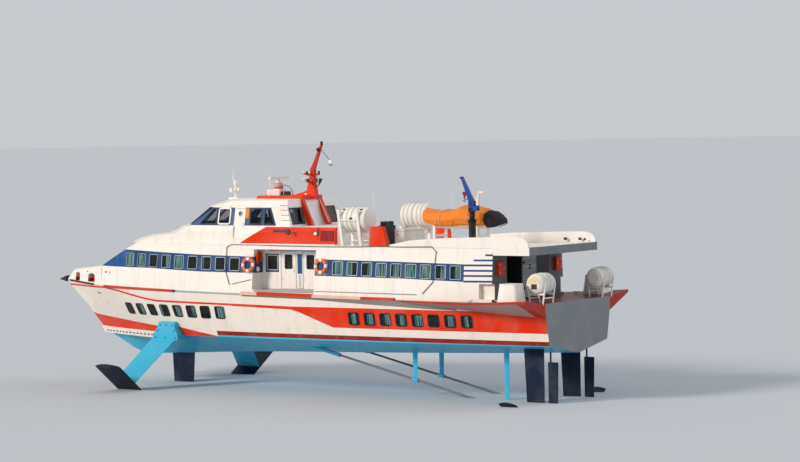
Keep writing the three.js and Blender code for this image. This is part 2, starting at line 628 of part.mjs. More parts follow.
// Radar: box and pedestal fixed to the roof, scanner that turns on top
const RADAR_X = 1480;
const TURRET_FOOT = 9820;
const TURRET_TALL = 440;
const RADAR_TOP = TURRET_FOOT + TURRET_TALL + GAP;
part("radar_pedestal", join(
  block(RADAR_X - 230, RADAR_X + 550, -270, 270, PAD_TOP + GAP, TURRET_FOOT + 10),
  turned([[0, 0], [225, 0], [240, 60], [240, 260], [150, 350], [150, TURRET_TALL], [0, TURRET_TALL]],
    [RADAR_X, 0, TURRET_FOOT], [0, 0, 1], 20),
), "white");
part("radar_scanner", join(
  turned([[0, 0], [90, 0], [90, 110], [0, 110]], [RADAR_X, 0, RADAR_TOP], [0, 0, 1], 16),
  sidePlate([[-90, 90], [70, 90], [90, 160], [70, 210], [-90, 210]].map(([x, z]) =>
    [RADAR_X + x, RADAR_TOP + z]), -760, 760),
), "plastic");

// Instrument post at the front of the roof with a searchlight and two domes
const POST_X = 4170;
const POST_FOOT = 9330;
const POST_ARM = { half: 330, z: 9720 };
const DOME_PROFILE = [[0, 0], [110, 0], [130, 90], [110, 190], [0, 230]];
part("instrument_post", cut(join(
  block(POST_X - 300, POST_X + 260, -260, 260, POST_FOOT - 250, POST_FOOT + 110),
  bar([POST_X, 0, POST_FOOT], [POST_X, 0, 10060], 70),
  bar([POST_X, -POST_ARM.half, POST_ARM.z], [POST_X, POST_ARM.half, POST_ARM.z], 45),
  turned([[0, 0], [90, 0], [120, 60], [120, 160], [80, 230], [0, 250]], [POST_X, 0, 10040], [0, 0, 1], 14),
  ...[POST_ARM.half, -POST_ARM.half].map((y) =>
    turned(DOME_PROFILE, [POST_X, y, POST_ARM.z - 10], [0, 0, 1], 14)),
), roofBody(GAP)), "white");

// Liferafts: ribbed canisters in racks, two large ones by the roof edge and two on the stern deck
const ROOF_RAFT = { at: [-5100, 2600, 8500], along: [1, 0, 0], radius: 590, long: 1560 };
const STERN_RAFT = { at: [-15330, 2700, 5610], along: [0, 1, 0], radius: 470, long: 1300 };
function canister(raft, grow = 0) {
  const h = raft.long / 2 + grow;
  const r = raft.radius + grow;
  const profile = [[0, -h], [r * 0.62, -h], [r * 0.9, -h + 70], [r, -h + 190]];
  profile.push([r, -60], [r + 25, -50], [r + 25, 50], [r, 60]);
  profile.push([r, h - 190], [r * 0.9, h - 70], [r * 0.62, h], [0, h]);
  return turned(profile, raft.at, raft.along, 28);
}
pair("roof_raft", canister(ROOF_RAFT), "plastic");
pair("stern_raft", canister(STERN_RAFT), "plastic");

// A plate whose outline lies in the end view, from x0 to x1
const endPlate = (outline, x0, x1) => loft([x0, x1].map((x) => outline.map(([y, z]) => [x, y, z])));

// Rack of the roof raft: two frames with an outer leg that leans out over the side, and ties between them
function roofRack() {
  const half = 75;
  const xs = [-4430, -5500];
  const frames = xs.map((x) => join(
    endPlate([[2880, 7190], [2980, 7190], [3330, 8960], [3230, 8960]], x - half, x + half),
    endPlate([[2040, 7190], [2140, 7190], [2140, 7940], [2040, 7940]], x - half, x + half),
    endPlate([[2040, 7820], [3110, 7820], [3110, 7940], [2040, 7940]], x - half, x + half),
    bar([x, 2090, 7300], [x, 2990, 7850], 32),
  ));
  const ties = [[2090, 7450], [2500, 7870], [3235, 8460]].map(([y, z]) =>
    bar([xs[0], y, z], [xs[1], y, z], 28));
  return join(...frames, ...ties);
}
const underRoof = block(-7000, -3000, 0, 4000, 7000, ROOF_Z + GAP);
pair("roof_rack", cut(roofRack(), canister(ROOF_RAFT, GAP), underRoof), "white");

// Rack of the stern raft: two frames across it with bent legs, tied together
function sternRack() {
  const [x, y, z] = STERN_RAFT.at;
  const foot = deckZ(x) - 60;
  const frames = [-430, 430].map((s) => join(
    bar([x + 330, y + s, foot], [x + 490, y + s, z + 20], 40),
    bar([x - 330, y + s, foot], [x - 490, y + s, z + 20], 40),
    bar([x + 380, y + s, 5130], [x - 380, y + s, 5130], 45),
  ));
  const ties = [-350, 350].map((w) => bar([x + w, y - 430, 4950], [x + w, y + 430, 4950], 30));
  return join(...frames, ...ties);
}
pair("stern_rack", cut(sternRack(), canister(STERN_RAFT, GAP), hullCutter, guardBody(GAP)), "white");

// Red lockers at the roof's edge, abaft the first raft
pair("roof_locker_red", sidePlate([
  [-6040, 8150], [-6690, 8150], [-6980, ROOF_Z + GAP], [-5920, ROOF_Z + GAP],
], 2620, 2920), "red");
// Vent trunk and lockers on the roof
part("vent_trunk", join(
  block(-5750, -5350, 350, 1250, ROOF_Z + GAP, 8120),
  block(-5700, -5400, 450, 1150, 8110, 8320),
), "black");
part("roof_lockers", join(
  block(-6930, -6410, -400, 1400, ROOF_Z + 120, 7990),
  block(-6880, -6460, -340, -240, ROOF_Z + GAP, ROOF_Z + 130),
  block(-6880, -6460, 1240, 1340, ROOF_Z + GAP, ROOF_Z + 130),
), "grey");

// Rescue boat under its orange cover, on two cradle chocks
const BOAT_ROWS = [
  // x, half-breadth, keel z, top z
  [-7560, 60, 8450, 8800],
  [-7800, 420, 8200, 8870],
  [-8500, 720, 8030, 8800],
  [-9400, 800, 7990, 8850],
  [-10100, 800, 7990, 9080],
  [-10900, 780, 8000, 8960],
  [-11700, 560, 8090, 8720],
  [-12180, 90, 8260, 8420],
];
const BOAT_Y = 620;
// Grown below by a margin, it shapes the chocks
const boatBody = (grow) => loft(BOAT_ROWS.map(([x, half, keel, top]) => {
  const mid = keel + (top - keel) * 0.5;
  const wide = half + grow;
  const ring = [
    [0.35, keel - grow],
    [0.85, keel + (mid - keel) * 0.5 - grow],
    [1, mid],
    [0.85, top - (top - mid) * 0.3],
    [0.3, top],
  ];
  return [...ring.map(([share, z]) => [x, BOAT_Y + wide * share, z]),
    ...ring.reverse().map(([share, z]) => [x, BOAT_Y - wide * share, z])];
}));
part("rescue_boat", boatBody(0), "orange");
const CHOCKS_X = [-8500, -10900];
const BOAT_CLEAR = 0.4;
const chock = (x) => join(
  block(x - 70, x + 70, BOAT_Y - 640, BOAT_Y + 640, ROOF_Z + GAP, ROOF_Z + 120),
  block(x - 50, x + 50, BOAT_Y - 560, BOAT_Y - 440, ROOF_Z + 100, 8300),
  block(x - 50, x + 50, BOAT_Y + 440, BOAT_Y + 560, ROOF_Z + 100, 8300),
  block(x - 50, x + 50, BOAT_Y - 560, BOAT_Y + 560, 7600, 7720),
);
const cradleRunner = (y) => block(CHOCKS_X[1], CHOCKS_X[0], y, y + 80, ROOF_Z + GAP, ROOF_Z + 100);
part("boat_cradle", cut(join(
  ...CHOCKS_X.map(chock),
  cradleRunner(BOAT_Y - 560),
  cradleRunner(BOAT_Y + 480),
), boatBody(BOAT_CLEAR)), "white");

// Davit crane: fixed column, slewing head and a jib that luffs on it
const [CRANE_X, CRANE_Y] = [-11100, 1850];
const COLUMN_TALL = 1150;
const CRANE_SLEW_Z = ROOF_Z + COLUMN_TALL;
const COLUMN_TOP = COLUMN_TALL - 2 * GAP;
part("crane_column", turned([[0, 0], [300, 0], [300, 40], [170, 60], [170, COLUMN_TOP], [0, COLUMN_TOP]],
  [CRANE_X, CRANE_Y, ROOF_Z + GAP], [0, 0, 1], 20), "black");
const JIB_PIN_Z = 9250;
const CHEEK = { inner: 78, outer: 120, half: 140 };
const cheek = (y0, y1, foot, head) =>
  block(CRANE_X - CHEEK.half, CRANE_X + CHEEK.half, CRANE_Y + y0, CRANE_Y + y1, foot, head);
const athwart = (reach, radius, sides) =>
  bar([CRANE_X, CRANE_Y - reach, JIB_PIN_Z], [CRANE_X, CRANE_Y + reach, JIB_PIN_Z], radius, radius, sides);
part("crane_slew", cut(join(
  turned([[0, 0], [190, 0], [190, 120], [130, 160], [130, 560], [0, 560]],
    [CRANE_X, CRANE_Y, CRANE_SLEW_Z], [0, 0, 1], 20),
  cheek(-CHEEK.outer, -CHEEK.inner, 8860, 9340),
  cheek(CHEEK.inner, CHEEK.outer, 8860, 9340),
  cheek(-CHEEK.outer, CHEEK.outer, 8840, 8940),
), athwart(200, 40, 12)), "blue");
const JIB_SIDE = [
  // x from the column's axis, z
  [-110, 9170],
  [60, 9120],
  [150, 9300],
  [585, 10480],
  [495, 10500],
  [-120, 9350],
];
part("crane_jib", join(
  athwart(115, 38.5, 16),
  sidePlate(JIB_SIDE.map(([x, z]) => [CRANE_X + x, z]), CRANE_Y - 70, CRANE_Y + 70),
), "blue");

// Floodlight post by the boat, its lamp on a hooked arm
const [LAMP_X, LAMP_Y] = [-10080, -290];
part("floodlight_post", join(
  block(LAMP_X - 180, LAMP_X + 180, LAMP_Y - 180, LAMP_Y + 180, ROOF_Z + GAP, ROOF_Z + 40),
  bar([LAMP_X, LAMP_Y, ROOF_Z + 30], [LAMP_X, LAMP_Y, 9500], 90),
  bar([LAMP_X, LAMP_Y, 9460], [LAMP_X - 60, LAMP_Y, 9690], 40),
  bar([LAMP_X - 50, LAMP_Y, 9680], [LAMP_X - 220, LAMP_Y, 9715], 40),
  block(LAMP_X - 350, LAMP_X - 180, LAMP_Y - 110, LAMP_Y + 110, 9650, 9740),
), "white");

// Stern deck: rounded tubs on the guards, red lockers by the aft wall
const [TUB_X, TUB_Y] = [-14450, 3880];
const TUB_CORNER = 180;
const tub = loft([
  // z, half length, half breadth
  [deckZ(TUB_X) - 30, 580, 475],
  [5640, 460, 400],
].map(([z, long, wide]) => Array.from({ length: 16 }, (_, k) => {
  const angle = (2 * Math.PI * (k + 0.5)) / 16;
  const [c, s] = [Math.cos(angle), Math.sin(angle)];
  return [
    TUB_X + Math.sign(c) * (long - TUB_CORNER) + TUB_CORNER * c,
    TUB_Y + Math.sign(s) * (wide - TUB_CORNER) + TUB_CORNER * s,
    z,
  ];
})));
pair("stern_tub", cut(tub, guardBody(GAP), hullCutter), "white");
pair("stern_locker_red", block(-13160, SALOON_AFT_X - GAP, 2330, 2800, 5930, 6560), "red");

// Foil section at a span station: chord from the leading edge, thickness ratio, tilted by dihedral
const FOIL_PROFILE = [
  // along the chord from the nose, height over the chord line, as shares of chord and thickness
  [0, 0], [0.04, 0.42], [0.2, 0.85], [0.45, 1], [0.75, 0.62],
  [1, 0.03], [1, -0.03], [0.6, -0.12], [0.15, -0.12], [0.03, -0.1],
];
function foilRing(y, z, lead, chord, thick) {
  return FOIL_PROFILE.map(([s, h]) => [lead - s * chord, y, z + h * thick]);
}
function foilBetween(rows) {
  return loft(rows.map(([y, z, lead, chord, thick]) => foilRing(y, z, lead, chord, thick)));
}
// Bow foil: W foil that breaks the surface, with a centre strut under the forefoot
const BOW_FOIL_ROWS = [
  // y, z, leading edge x, chord, thickness
  [0, -1210, 8350, 1300, 150],
  [1300, -1370, 8350, 1350, 150],
  [2700, -1330, 8320, 1450, 150],
  [4600, -20, 8270, 1550, 150],
  [6450, 1290, 8180, 1600, 130],
  [6560, 1370, 7900, 1150, 60],
];
const bowWing = foilBetween(BOW_FOIL_ROWS);
const bowCentreStrut = strutBetween([
  // z, y, leading edge x, chord, half thickness
  [-1150, 0, 8300, 1150, 75],
  [2000, 0, 8450, 1500, 80],
]);
const bowFoil = join(bowWing, mirrored(bowWing), bowCentreStrut);
part("bow_foil", cut(bowFoil, hullCutter), "navy");
// Everything under the foil's upper face, so that a strut ends on it
const bowWingBelow = loft(BOW_FOIL_ROWS.map(([y, z, lead, chord, thick]) => [
  ...FOIL_PROFILE.slice(0, 6).map(([s, h]) => [lead + 2 - s * (chord + 4), y, z + h * thick + 1]),
  [lead - chord - 2, y, z - 900],
  [lead + 2, y, z - 900],
]));
// Outer struts: from a bracket plate on the hull's side down and out to the foil
const outerStrut = join(
  strutBetween([
    [330, 5180, 8180, 1400, 110],
    [2420, 2930, 7420, 1500, 120],
    [2600, 2740, 7350, 1560, 130],
  ]),
  loft([
    // z, aft x, fore x, inner y, outer y
    [2380, 5750, 7350, 2100, 2960],
    [2640, 5750, 7300, 2100, 2960],
    [3020, 5980, 7050, 2100, 2900],
    [3280, 5980, 7000, 2100, 2860],
  ].map(([z, aft, fore, inner, outer]) =>
    [[aft, inner, z], [fore, inner, z], [fore, outer, z], [aft, outer, z]])),
);
pair("bow_strut", cut(outerStrut, hullCutter, bowWingBelow, rail), "cyan");

// Stern foil with its two struts
const STERN_FOIL_ROWS = [
  // y, z, leading edge x, chord, thickness
  [0, -1240, -13750, 1000, 130],
  [1700, -1300, -13750, 1050, 130],
  [4100, 120, -13800, 950, 110],
  [4180, 170, -13950, 700, 60],
];
const sternWing = foilBetween(STERN_FOIL_ROWS);
const sternStrut = strutBetween([
  [-1220, STRUT_Y, -13900, 900, 70],
  [2700, STRUT_Y, -13700, 1100, 80],
]);
const sternFoil = join(sternWing, mirrored(sternWing), sternStrut, mirrored(sternStrut));
part("stern_foil", cut(sternFoil, hullCutter), "navy");

// Rudders: spade blades abaft the struts, their stocks turning in bosses under the hull
const rudder = join(
  strutBetween([
    [-1000, STRUT_Y, RUDDER_X + 130, 480, 40],
    [RUDDER_TOP, STRUT_Y, RUDDER_X + 150, 560, 48],
  ]),
  bar([RUDDER_X, STRUT_Y, RUDDER_TOP - 100], [RUDDER_X, STRUT_Y, BOSS_Z - GAP], 42),
);
pair("rudder", rudder, "navy");

// Shafts: inclined, each turning in a stern tube and two barrels that the hull carries
const shaftEnd = shaftPoint(PROP[0] + (HUB_HALF + GAP) / Math.hypot(1, SHAFT_FALL));
pair("propeller_shaft", bar(shaftPoint(TUBE_FORE_X - 410), shaftEnd, SHAFT_R, SHAFT_R, 20), "steel");

// Propellers: a hub and four raked blades
const PROP_R = 400;
const BLADE_ROWS = [
  // radius, half chord, pitch angle, half thickness
  [70, 90, 0.95, 16],
  [200, 150, 0.75, 12],
  [330, 150, 0.55, 8],
  [PROP_R, 60, 0.48, 4],
];
function bladeBody(turn) {
  const about = new THREE.Vector3(1, 0, 0);
  return loft(BLADE_ROWS.map(([r, half, angle, thick]) => {
    const [c, s] = [Math.cos(angle), Math.sin(angle)];
    return [[-half, -thick], [half, -thick], [half, thick], [-half, thick]].map(([u, v]) =>
      new THREE.Vector3(u * s + v * c, u * c - v * s, r).applyAxisAngle(about, turn).toArray());
  }));
}
const hub = turned([[0, -HUB_HALF], [60, -HUB_HALF], [100, -40], [95, HUB_HALF], [0, HUB_HALF]],
  [0, 0, 0], [1, 0, 0], 16);
const blades = Array.from({ length: 4 }, (_, k) => bladeBody((k * Math.PI) / 2));
const propeller = geometryOf(join(hub, ...blades));
propeller.rotateY(-Math.atan(SHAFT_FALL));
propeller.translate(...PROP);
pair("propeller", solid(propeller), "bronze");

export default ship;
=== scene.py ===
import json
import math
import bmesh
import bpy
from mathutils import Matrix, Vector, noise
from mathutils.bvhtree import BVHTree


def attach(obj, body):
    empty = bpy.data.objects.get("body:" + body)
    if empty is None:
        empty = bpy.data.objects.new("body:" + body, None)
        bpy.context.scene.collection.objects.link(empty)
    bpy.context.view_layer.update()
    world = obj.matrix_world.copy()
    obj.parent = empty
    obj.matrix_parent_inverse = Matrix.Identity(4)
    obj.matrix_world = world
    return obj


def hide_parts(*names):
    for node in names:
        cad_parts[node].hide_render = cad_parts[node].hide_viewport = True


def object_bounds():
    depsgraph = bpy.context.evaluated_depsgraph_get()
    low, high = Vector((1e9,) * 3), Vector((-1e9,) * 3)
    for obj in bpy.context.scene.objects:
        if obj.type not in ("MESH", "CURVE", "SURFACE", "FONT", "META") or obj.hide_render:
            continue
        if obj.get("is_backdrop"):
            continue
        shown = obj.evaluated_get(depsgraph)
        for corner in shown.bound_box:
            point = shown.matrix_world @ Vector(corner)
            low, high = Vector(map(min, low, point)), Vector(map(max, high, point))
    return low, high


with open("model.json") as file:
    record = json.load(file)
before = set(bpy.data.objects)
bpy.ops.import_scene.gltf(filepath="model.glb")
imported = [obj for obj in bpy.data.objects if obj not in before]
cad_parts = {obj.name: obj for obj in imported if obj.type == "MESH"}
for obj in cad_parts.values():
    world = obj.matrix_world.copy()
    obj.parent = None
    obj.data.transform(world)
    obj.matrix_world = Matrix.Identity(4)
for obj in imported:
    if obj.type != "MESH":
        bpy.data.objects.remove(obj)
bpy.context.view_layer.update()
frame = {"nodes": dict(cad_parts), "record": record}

# Studio: a long lens off the port quarter as in the photograph, a pale floor at the waterline,
# a broad warm key light from ahead of the port beam and soft fill all round.
AFT_OF_BEAM, ABOVE, ROLL = (math.radians(a) for a in (34.0, 2.26, 0.94))
LENS_MM, LENS_REACH = 127.35, 4000
LENS_PLACE = (-82.345, 113.539, 13.225)
level_reach = math.cos(ABOVE)
back = Vector((-math.sin(AFT_OF_BEAM) * level_reach, math.cos(AFT_OF_BEAM) * level_reach, math.sin(ABOVE)))
level = Vector((0, 0, 1)).cross(back).normalized()
upright = back.cross(level)
right = level * math.cos(ROLL) - upright * math.sin(ROLL)
up = upright * math.cos(ROLL) + level * math.sin(ROLL)
lens = bpy.data.cameras.new("camera")
lens.lens = LENS_MM
lens.clip_end = LENS_REACH
camera = bpy.data.objects.new("camera", lens)
camera.matrix_world = Matrix((right, up, back)).transposed().to_4x4()
camera.location = LENS_PLACE
bpy.context.scene.collection.objects.link(camera)
bpy.context.scene.camera = camera
bpy.context.scene.view_settings.view_transform = "Standard"


def srgb(code):
    """A hex colour as the eye reads it, turned to linear light"""
    shares = [int(code[i:i + 2], 16) / 255 for i in (0, 2, 4)]
    return [s / 12.92 if s <= 0.04045 else ((s + 0.055) / 1.055) ** 2.4 for s in shares] + [1.0]


def add(tree, kind, inputs=None, **settings):
    """One shader node with its settings, and its values and links by socket"""
    made = tree.nodes.new("ShaderNode" + kind)
    for key, value in settings.items():
        setattr(made, key, value)
    for key, value in (inputs or {}).items():
        if isinstance(value, bpy.types.NodeSocket):
            tree.links.new(value, made.inputs[key])
        else:
            made.inputs[key].default_value = value
    return made


for name, strength, blur, aim, tint in (
    ("key", 2.35, 14, (-0.42, -0.80, -0.44), "FFF4E8"),
    ("fill", 0.8, 60, (0.55, 0.65, -0.55), "EAF2FF"),
):
    lamp = bpy.data.lights.new(name, "SUN")
    lamp.energy, lamp.angle = strength, math.radians(blur)
    lamp.color = srgb(tint)[:3]
    light = bpy.data.objects.new(name, lamp)
    light.rotation_euler = Vector(aim).to_track_quat("-Z", "Y").to_euler()
    bpy.context.scene.collection.objects.link(light)
studio = bpy.data.worlds.new("studio")
studio.use_nodes = True
sky = studio.node_tree
overhead = sky.nodes["Background"]
overhead.inputs["Color"].default_value = srgb("E4E8EC")
overhead.inputs["Strength"].default_value = 0.55
# the lens sees a backdrop of the floor's own shade
backdrop = add(sky, "Background", {"Color": srgb("C6CACE")})
to_lens = add(sky, "LightPath").outputs["Is Camera Ray"]
seen = add(sky, "MixShader", {0: to_lens, 1: overhead.outputs[0], 2: backdrop.outputs[0]})
sky.links.new(seen.outputs[0], sky.nodes["World Output"].inputs[0])
bpy.context.scene.world = studio

FLOOR_RADIUS = 1500
floor_mesh = bpy.data.meshes.new("floor")
ground = bmesh.new()
bmesh.ops.create_circle(ground, cap_ends=True, segments=64, radius=FLOOR_RADIUS)
ground.to_mesh(floor_mesh)
ground.free()
floor = bpy.data.objects.new("floor", floor_mesh)
bpy.context.scene.collection.objects.link(floor)
floor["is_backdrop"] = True
matt = bpy.data.materials.new("studio_floor")
matt.use_nodes = True
matt_paint = matt.node_tree.nodes["Principled BSDF"]
matt_paint.inputs["Base Color"].default_value = srgb("C9CED3")
matt_paint.inputs["Roughness"].default_value = 0.9
floor_mesh.materials.append(matt)


# Hull: welded light alloy, faired and sprayed with marine enamel. Cream topsides carry a thin red line,
# an orange-red band and wedge, a dark red boot line and cyan bottom paint; the decks are brick red.
def smoothed(node, skin, angle=28):
    """A merged copy of a CAD node in its finish, its curved plates shaded smooth, standing for the node"""
    shell = bmesh.new()
    shell.from_mesh(frame["nodes"][node].data)
    bmesh.ops.remove_doubles(shell, verts=shell.verts, dist=0.0002)
    mesh = bpy.data.meshes.new(node + "_plating")
    shell.to_mesh(mesh)
    shell.free()
    mesh.materials.clear()
    mesh.materials.append(skin)
    mesh.attributes.remove(mesh.attributes["custom_normal"])
    mesh.shade_smooth()
    mesh.set_sharp_from_angle(angle=math.radians(angle))
    copy = bpy.data.objects.new(node + "_plating", mesh)
    bpy.context.scene.collection.objects.link(copy)
    bodies = frame["record"]["behaviour"]["bodies"]
    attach(copy, next(body for body, members in bodies.items() if node in members))
    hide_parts(node)
    return copy


# an open end of a painted stripe lies past any part of the ship
FAR = 30.0


def overlap(tree, first, *others):
    """Several values multiplied: of masks, 1 where every one is 1"""
    for mask in others:
        first = add(tree, "Math", {0: first, 1: mask}, operation="MULTIPLY").outputs[0]
    return first


def either(tree, first, second):
    """1 where at least one of two masks is 1"""
    return add(tree, "Math", {0: first, 1: second}, operation="MAXIMUM").outputs[0]


def stripe(tree, value, low, high):
    """1 where a value lies between two limits, else 0"""
    over = add(tree, "Math", {0: value, 1: low}, operation="GREATER_THAN").outputs[0]
    below = add(tree, "Math", {0: value, 1: high}, operation="LESS_THAN").outputs[0]
    return overlap(tree, over, below)


def facing_of(tree):
    """How far a surface faces forward, to port and upward, each from -1 to 1"""
    return add(tree, "SeparateXYZ", {0: add(tree, "NewGeometry").outputs["Normal"]}).outputs


def sheer(tree, x, points):
    """Height of a painted line along the ship, from its points x, z"""
    curve = add(tree, "FloatCurve", {"Value": x})
    curve.mapping.use_clip = False
    line = curve.mapping.curves[0]
    line.points[0].location, line.points[1].location = points[0], points[-1]
    for point in points[1:-1]:
        line.points.new(*point)
    for point in line.points:
        point.handle_type = "VECTOR"
    curve.mapping.update()
    return curve.outputs["Value"]


def coat(tree, under, mask, colour):
    """A coat of paint over another where the mask is 1"""
    top = colour if isinstance(colour, bpy.types.NodeSocket) else srgb(colour)
    return add(tree, "Mix", {0: mask, 6: under, 7: top}, data_type="RGBA").outputs[2]


# rain streaks stand 0.3 m apart and run down the sides for a metre and more
STREAKS_PER_METRE = (3.2, 3.2, 0.45)
# brush marks and orange peel are drawn at 12 mm where the real ones are 3 mm
PEEL_PER_METRE, PEEL_DEEP = 80.0, 0.0006
# plating is drawn in between frames 0.45 m apart, along X, and stringers 0.55 m apart, along Z
PLATE_WAVES = ((0, 0.9), (2, 1.1))
CHALK, GRIME = "FFF8EE", "8D8474"


def enamel(name, colour, slot, rough=0.34, plate=0.0, stain=0.25, scheme=None, deck=None):
    """Gloss marine enamel over alloy or steel: soft highlights, faint rain streaks and chalking.
    plate is the dent between frames in mm, stain how dirty it is, scheme paints further colours."""
    skin = bpy.data.materials.new(name)
    skin.use_nodes = True
    skin["slot"] = slot
    tree = skin.node_tree
    shader = tree.nodes["Principled BSDF"]
    place = add(tree, "TexCoord").outputs["Object"]
    axes = add(tree, "SeparateXYZ", {0: place}).outputs
    shade = add(tree, "RGB").outputs[0]
    shade.default_value = srgb(colour)
    if scheme:
        shade = scheme(tree, shade, axes)
    if deck:
        shade = coat(tree, shade, stripe(tree, facing_of(tree)[2], 0.9, FAR), deck)
    drawn = add(tree, "Mapping", {0: place, 3: STREAKS_PER_METRE}).outputs[0]
    rain = {"Vector": drawn, "Scale": 1.0, "Detail": 5.0, "Roughness": 0.6}
    streak = add(tree, "TexNoise", rain).outputs[0]
    dirt = add(tree, "MapRange", {0: streak, 1: 0.5, 2: 0.85, 3: 0.0, 4: stain}).outputs[0]
    shade = coat(tree, shade, dirt, GRIME)
    cloud = add(tree, "TexNoise", {"Vector": place, "Scale": 0.7, "Detail": 3.0}).outputs[0]
    pale = add(tree, "MapRange", {0: cloud, 1: 0.45, 2: 0.75, 3: 0.0, 4: 0.05}).outputs[0]
    shade = coat(tree, shade, pale, CHALK)
    tree.links.new(shade, shader.inputs["Base Color"])
    shader.inputs["Specular IOR Level"].default_value = 0.2
    gloss = add(tree, "MapRange", {0: streak, 1: 0.3, 2: 0.8, 3: rough - 0.05, 4: rough + 0.16}).outputs[0]
    tree.links.new(gloss, shader.inputs["Roughness"])
    peel = add(tree, "TexNoise", {"Vector": place, "Scale": PEEL_PER_METRE, "Detail": 2.0}).outputs[0]
    height = add(tree, "Math", {0: peel, 1: PEEL_DEEP}, operation="MULTIPLY").outputs[0]
    if plate:
        waves = []
        for axis, pitch in PLATE_WAVES:
            turn = add(tree, "Math", {0: axes[axis], 1: 2 * math.pi / pitch}, operation="MULTIPLY").outputs[0]
            waves.append(add(tree, "Math", {0: turn}, operation="SINE").outputs[0])
        dent = overlap(tree, *waves)
        deep = overlap(tree, dent, dent, cloud)
        height = add(tree, "Math", {0: deep, 1: plate / 1000, 2: height}, operation="MULTIPLY_ADD").outputs[0]
    bump = add(tree, "Bump", {"Strength": 1.0, "Distance": 1.0, "Height": height})
    tree.links.new(bump.outputs[0], shader.inputs["Normal"])
    return skin


CREAM, RED, DARK_RED, CYAN, DECK_RED, TRANSOM_SHADE = "EFE6DC", "E23000", "8E1C0C", "3CB6DC", "7A3B2F", "808488"
# painted lines by their points x, z
THIN_LINE = [(-12, 4.23), (-5.62, 4.23), (-1.47, 4.22), (2.02, 4.28), (7.09, 4.34), (8.1, 4.45), (9.92, 4.73),
             (11.19, 4.87), (14.73, 4.86), (15.4, 4.86)]
HALF_LINE = 0.05
BOW_RED_TOP = [(3.2, 2.2), (3.26, 2.65), (5.88, 3.02), (7.67, 3.02), (10.89, 3.25), (13.2, 3.39),
               (13.9, 3.45)]
WEDGE_FOOT = [(-16, 3.30), (-3.92, 3.30), (-2.0, 4.0), (-1.5, 4.12), (2.06, 4.21), (2.3, 4.3)]
BOOT_TOP, BOTTOM_TOP = 2.93, 2.72


def hull_scheme(tree, shade, axes):
    """Thin red line, red wedge and bow band over cream, boot line, bottom paint, painted shade grey on the
    transom
    """
    x, z = axes[0], axes[2]
    line = sheer(tree, x, THIN_LINE)
    over_line = add(tree, "Math", {0: z, 1: line}, operation="SUBTRACT").outputs[0]
    shade = coat(tree, shade, stripe(tree, over_line, -HALF_LINE, HALF_LINE), RED)
    line_top = add(tree, "Math", {0: line, 1: HALF_LINE}, operation="ADD").outputs[0]
    wedge = stripe(tree, z, sheer(tree, x, WEDGE_FOOT), line_top)
    shade = coat(tree, shade, overlap(tree, wedge, stripe(tree, x, -FAR, 2.2)), RED)
    bow_red = stripe(tree, z, 0.0, sheer(tree, x, BOW_RED_TOP))
    shade = coat(tree, shade, overlap(tree, bow_red, stripe(tree, x, 3.22, FAR)), RED)
    waist = stripe(tree, x, -FAR, 3.3)
    for top, colour in ((BOOT_TOP, DARK_RED), (BOTTOM_TOP, CYAN)):
        shade = coat(tree, shade, overlap(tree, waist, stripe(tree, z, -FAR, top)), colour)
    forward, _, upward = facing_of(tree)
    # the bottom paint ends under the spray rail at the bow, and along the chine abaft it
    bottom = overlap(tree, stripe(tree, upward, -FAR, -0.62), stripe(tree, x, -FAR, 9.0))
    forefoot = overlap(tree, stripe(tree, x, 9.0, FAR), stripe(tree, z, -FAR, 2.47))
    shade = coat(tree, shade, either(tree, bottom, forefoot), CYAN)
    # painted shade: the aft-facing transom is grey
    return coat(tree, shade, stripe(tree, forward, -FAR, -0.9), TRANSOM_SHADE)


topsides = enamel("topside_enamel", CREAM, "hull_paint", plate=6, scheme=hull_scheme, deck=DECK_RED)
hull = smoothed("hull", topsides, 24)


# Saloon house: riveted and welded alloy, gloss white, with a blue window band that runs forward down the
# raked front and ends aft in blue lines on white.
BLUE, LIT_FRONT_BLUE, WHITE = "03427A", "024F94", "F5EFE8"
TRODDEN, SHADE_BEHIND_GLASS, AFT_SHADE, LOBBY_SHADE, UNDERSIDE_SHADE = "A8A2A6", "1E2326", "666B6F", "2C2F32", "74797D"
BAND_FOOT = [(-13, 5.62), (-11.3, 5.64), (-7.8, 5.73), (-4.2, 5.76), (1.6, 5.85), (4.1, 5.86), (7.5, 5.97),
             (13, 5.97)]
BAND_HEAD = [(-13, 6.43), (-11.3, 6.45), (-7.8, 6.51), (-4.2, 6.55), (1.6, 6.65), (4.1, 6.69), (7.5, 6.8),
             (9.5, 6.86), (13, 6.9)]
BAND_END, FRONT_START = -11.42, 9.42
# blue panels in the porch by their after edge, fore edge and foot
PORCH_PANELS = ((-0.20, 0.60, 5.86), (-1.60, -1.32, 5.80))
PANEL_HEAD = 6.76
# blue lines at the after end: where each starts, and the foot it would have amidships; they rise aft by
# 12 mm a metre
AFT_LINES = [(-11.42, 5.47), (-11.42, 5.73), (-11.42, 5.97), (-11.42, 6.22), (-11.96, 6.45), (-12.59, 6.69)]
LINE_WIDE, LINE_SLOPE = 0.09, 0.012


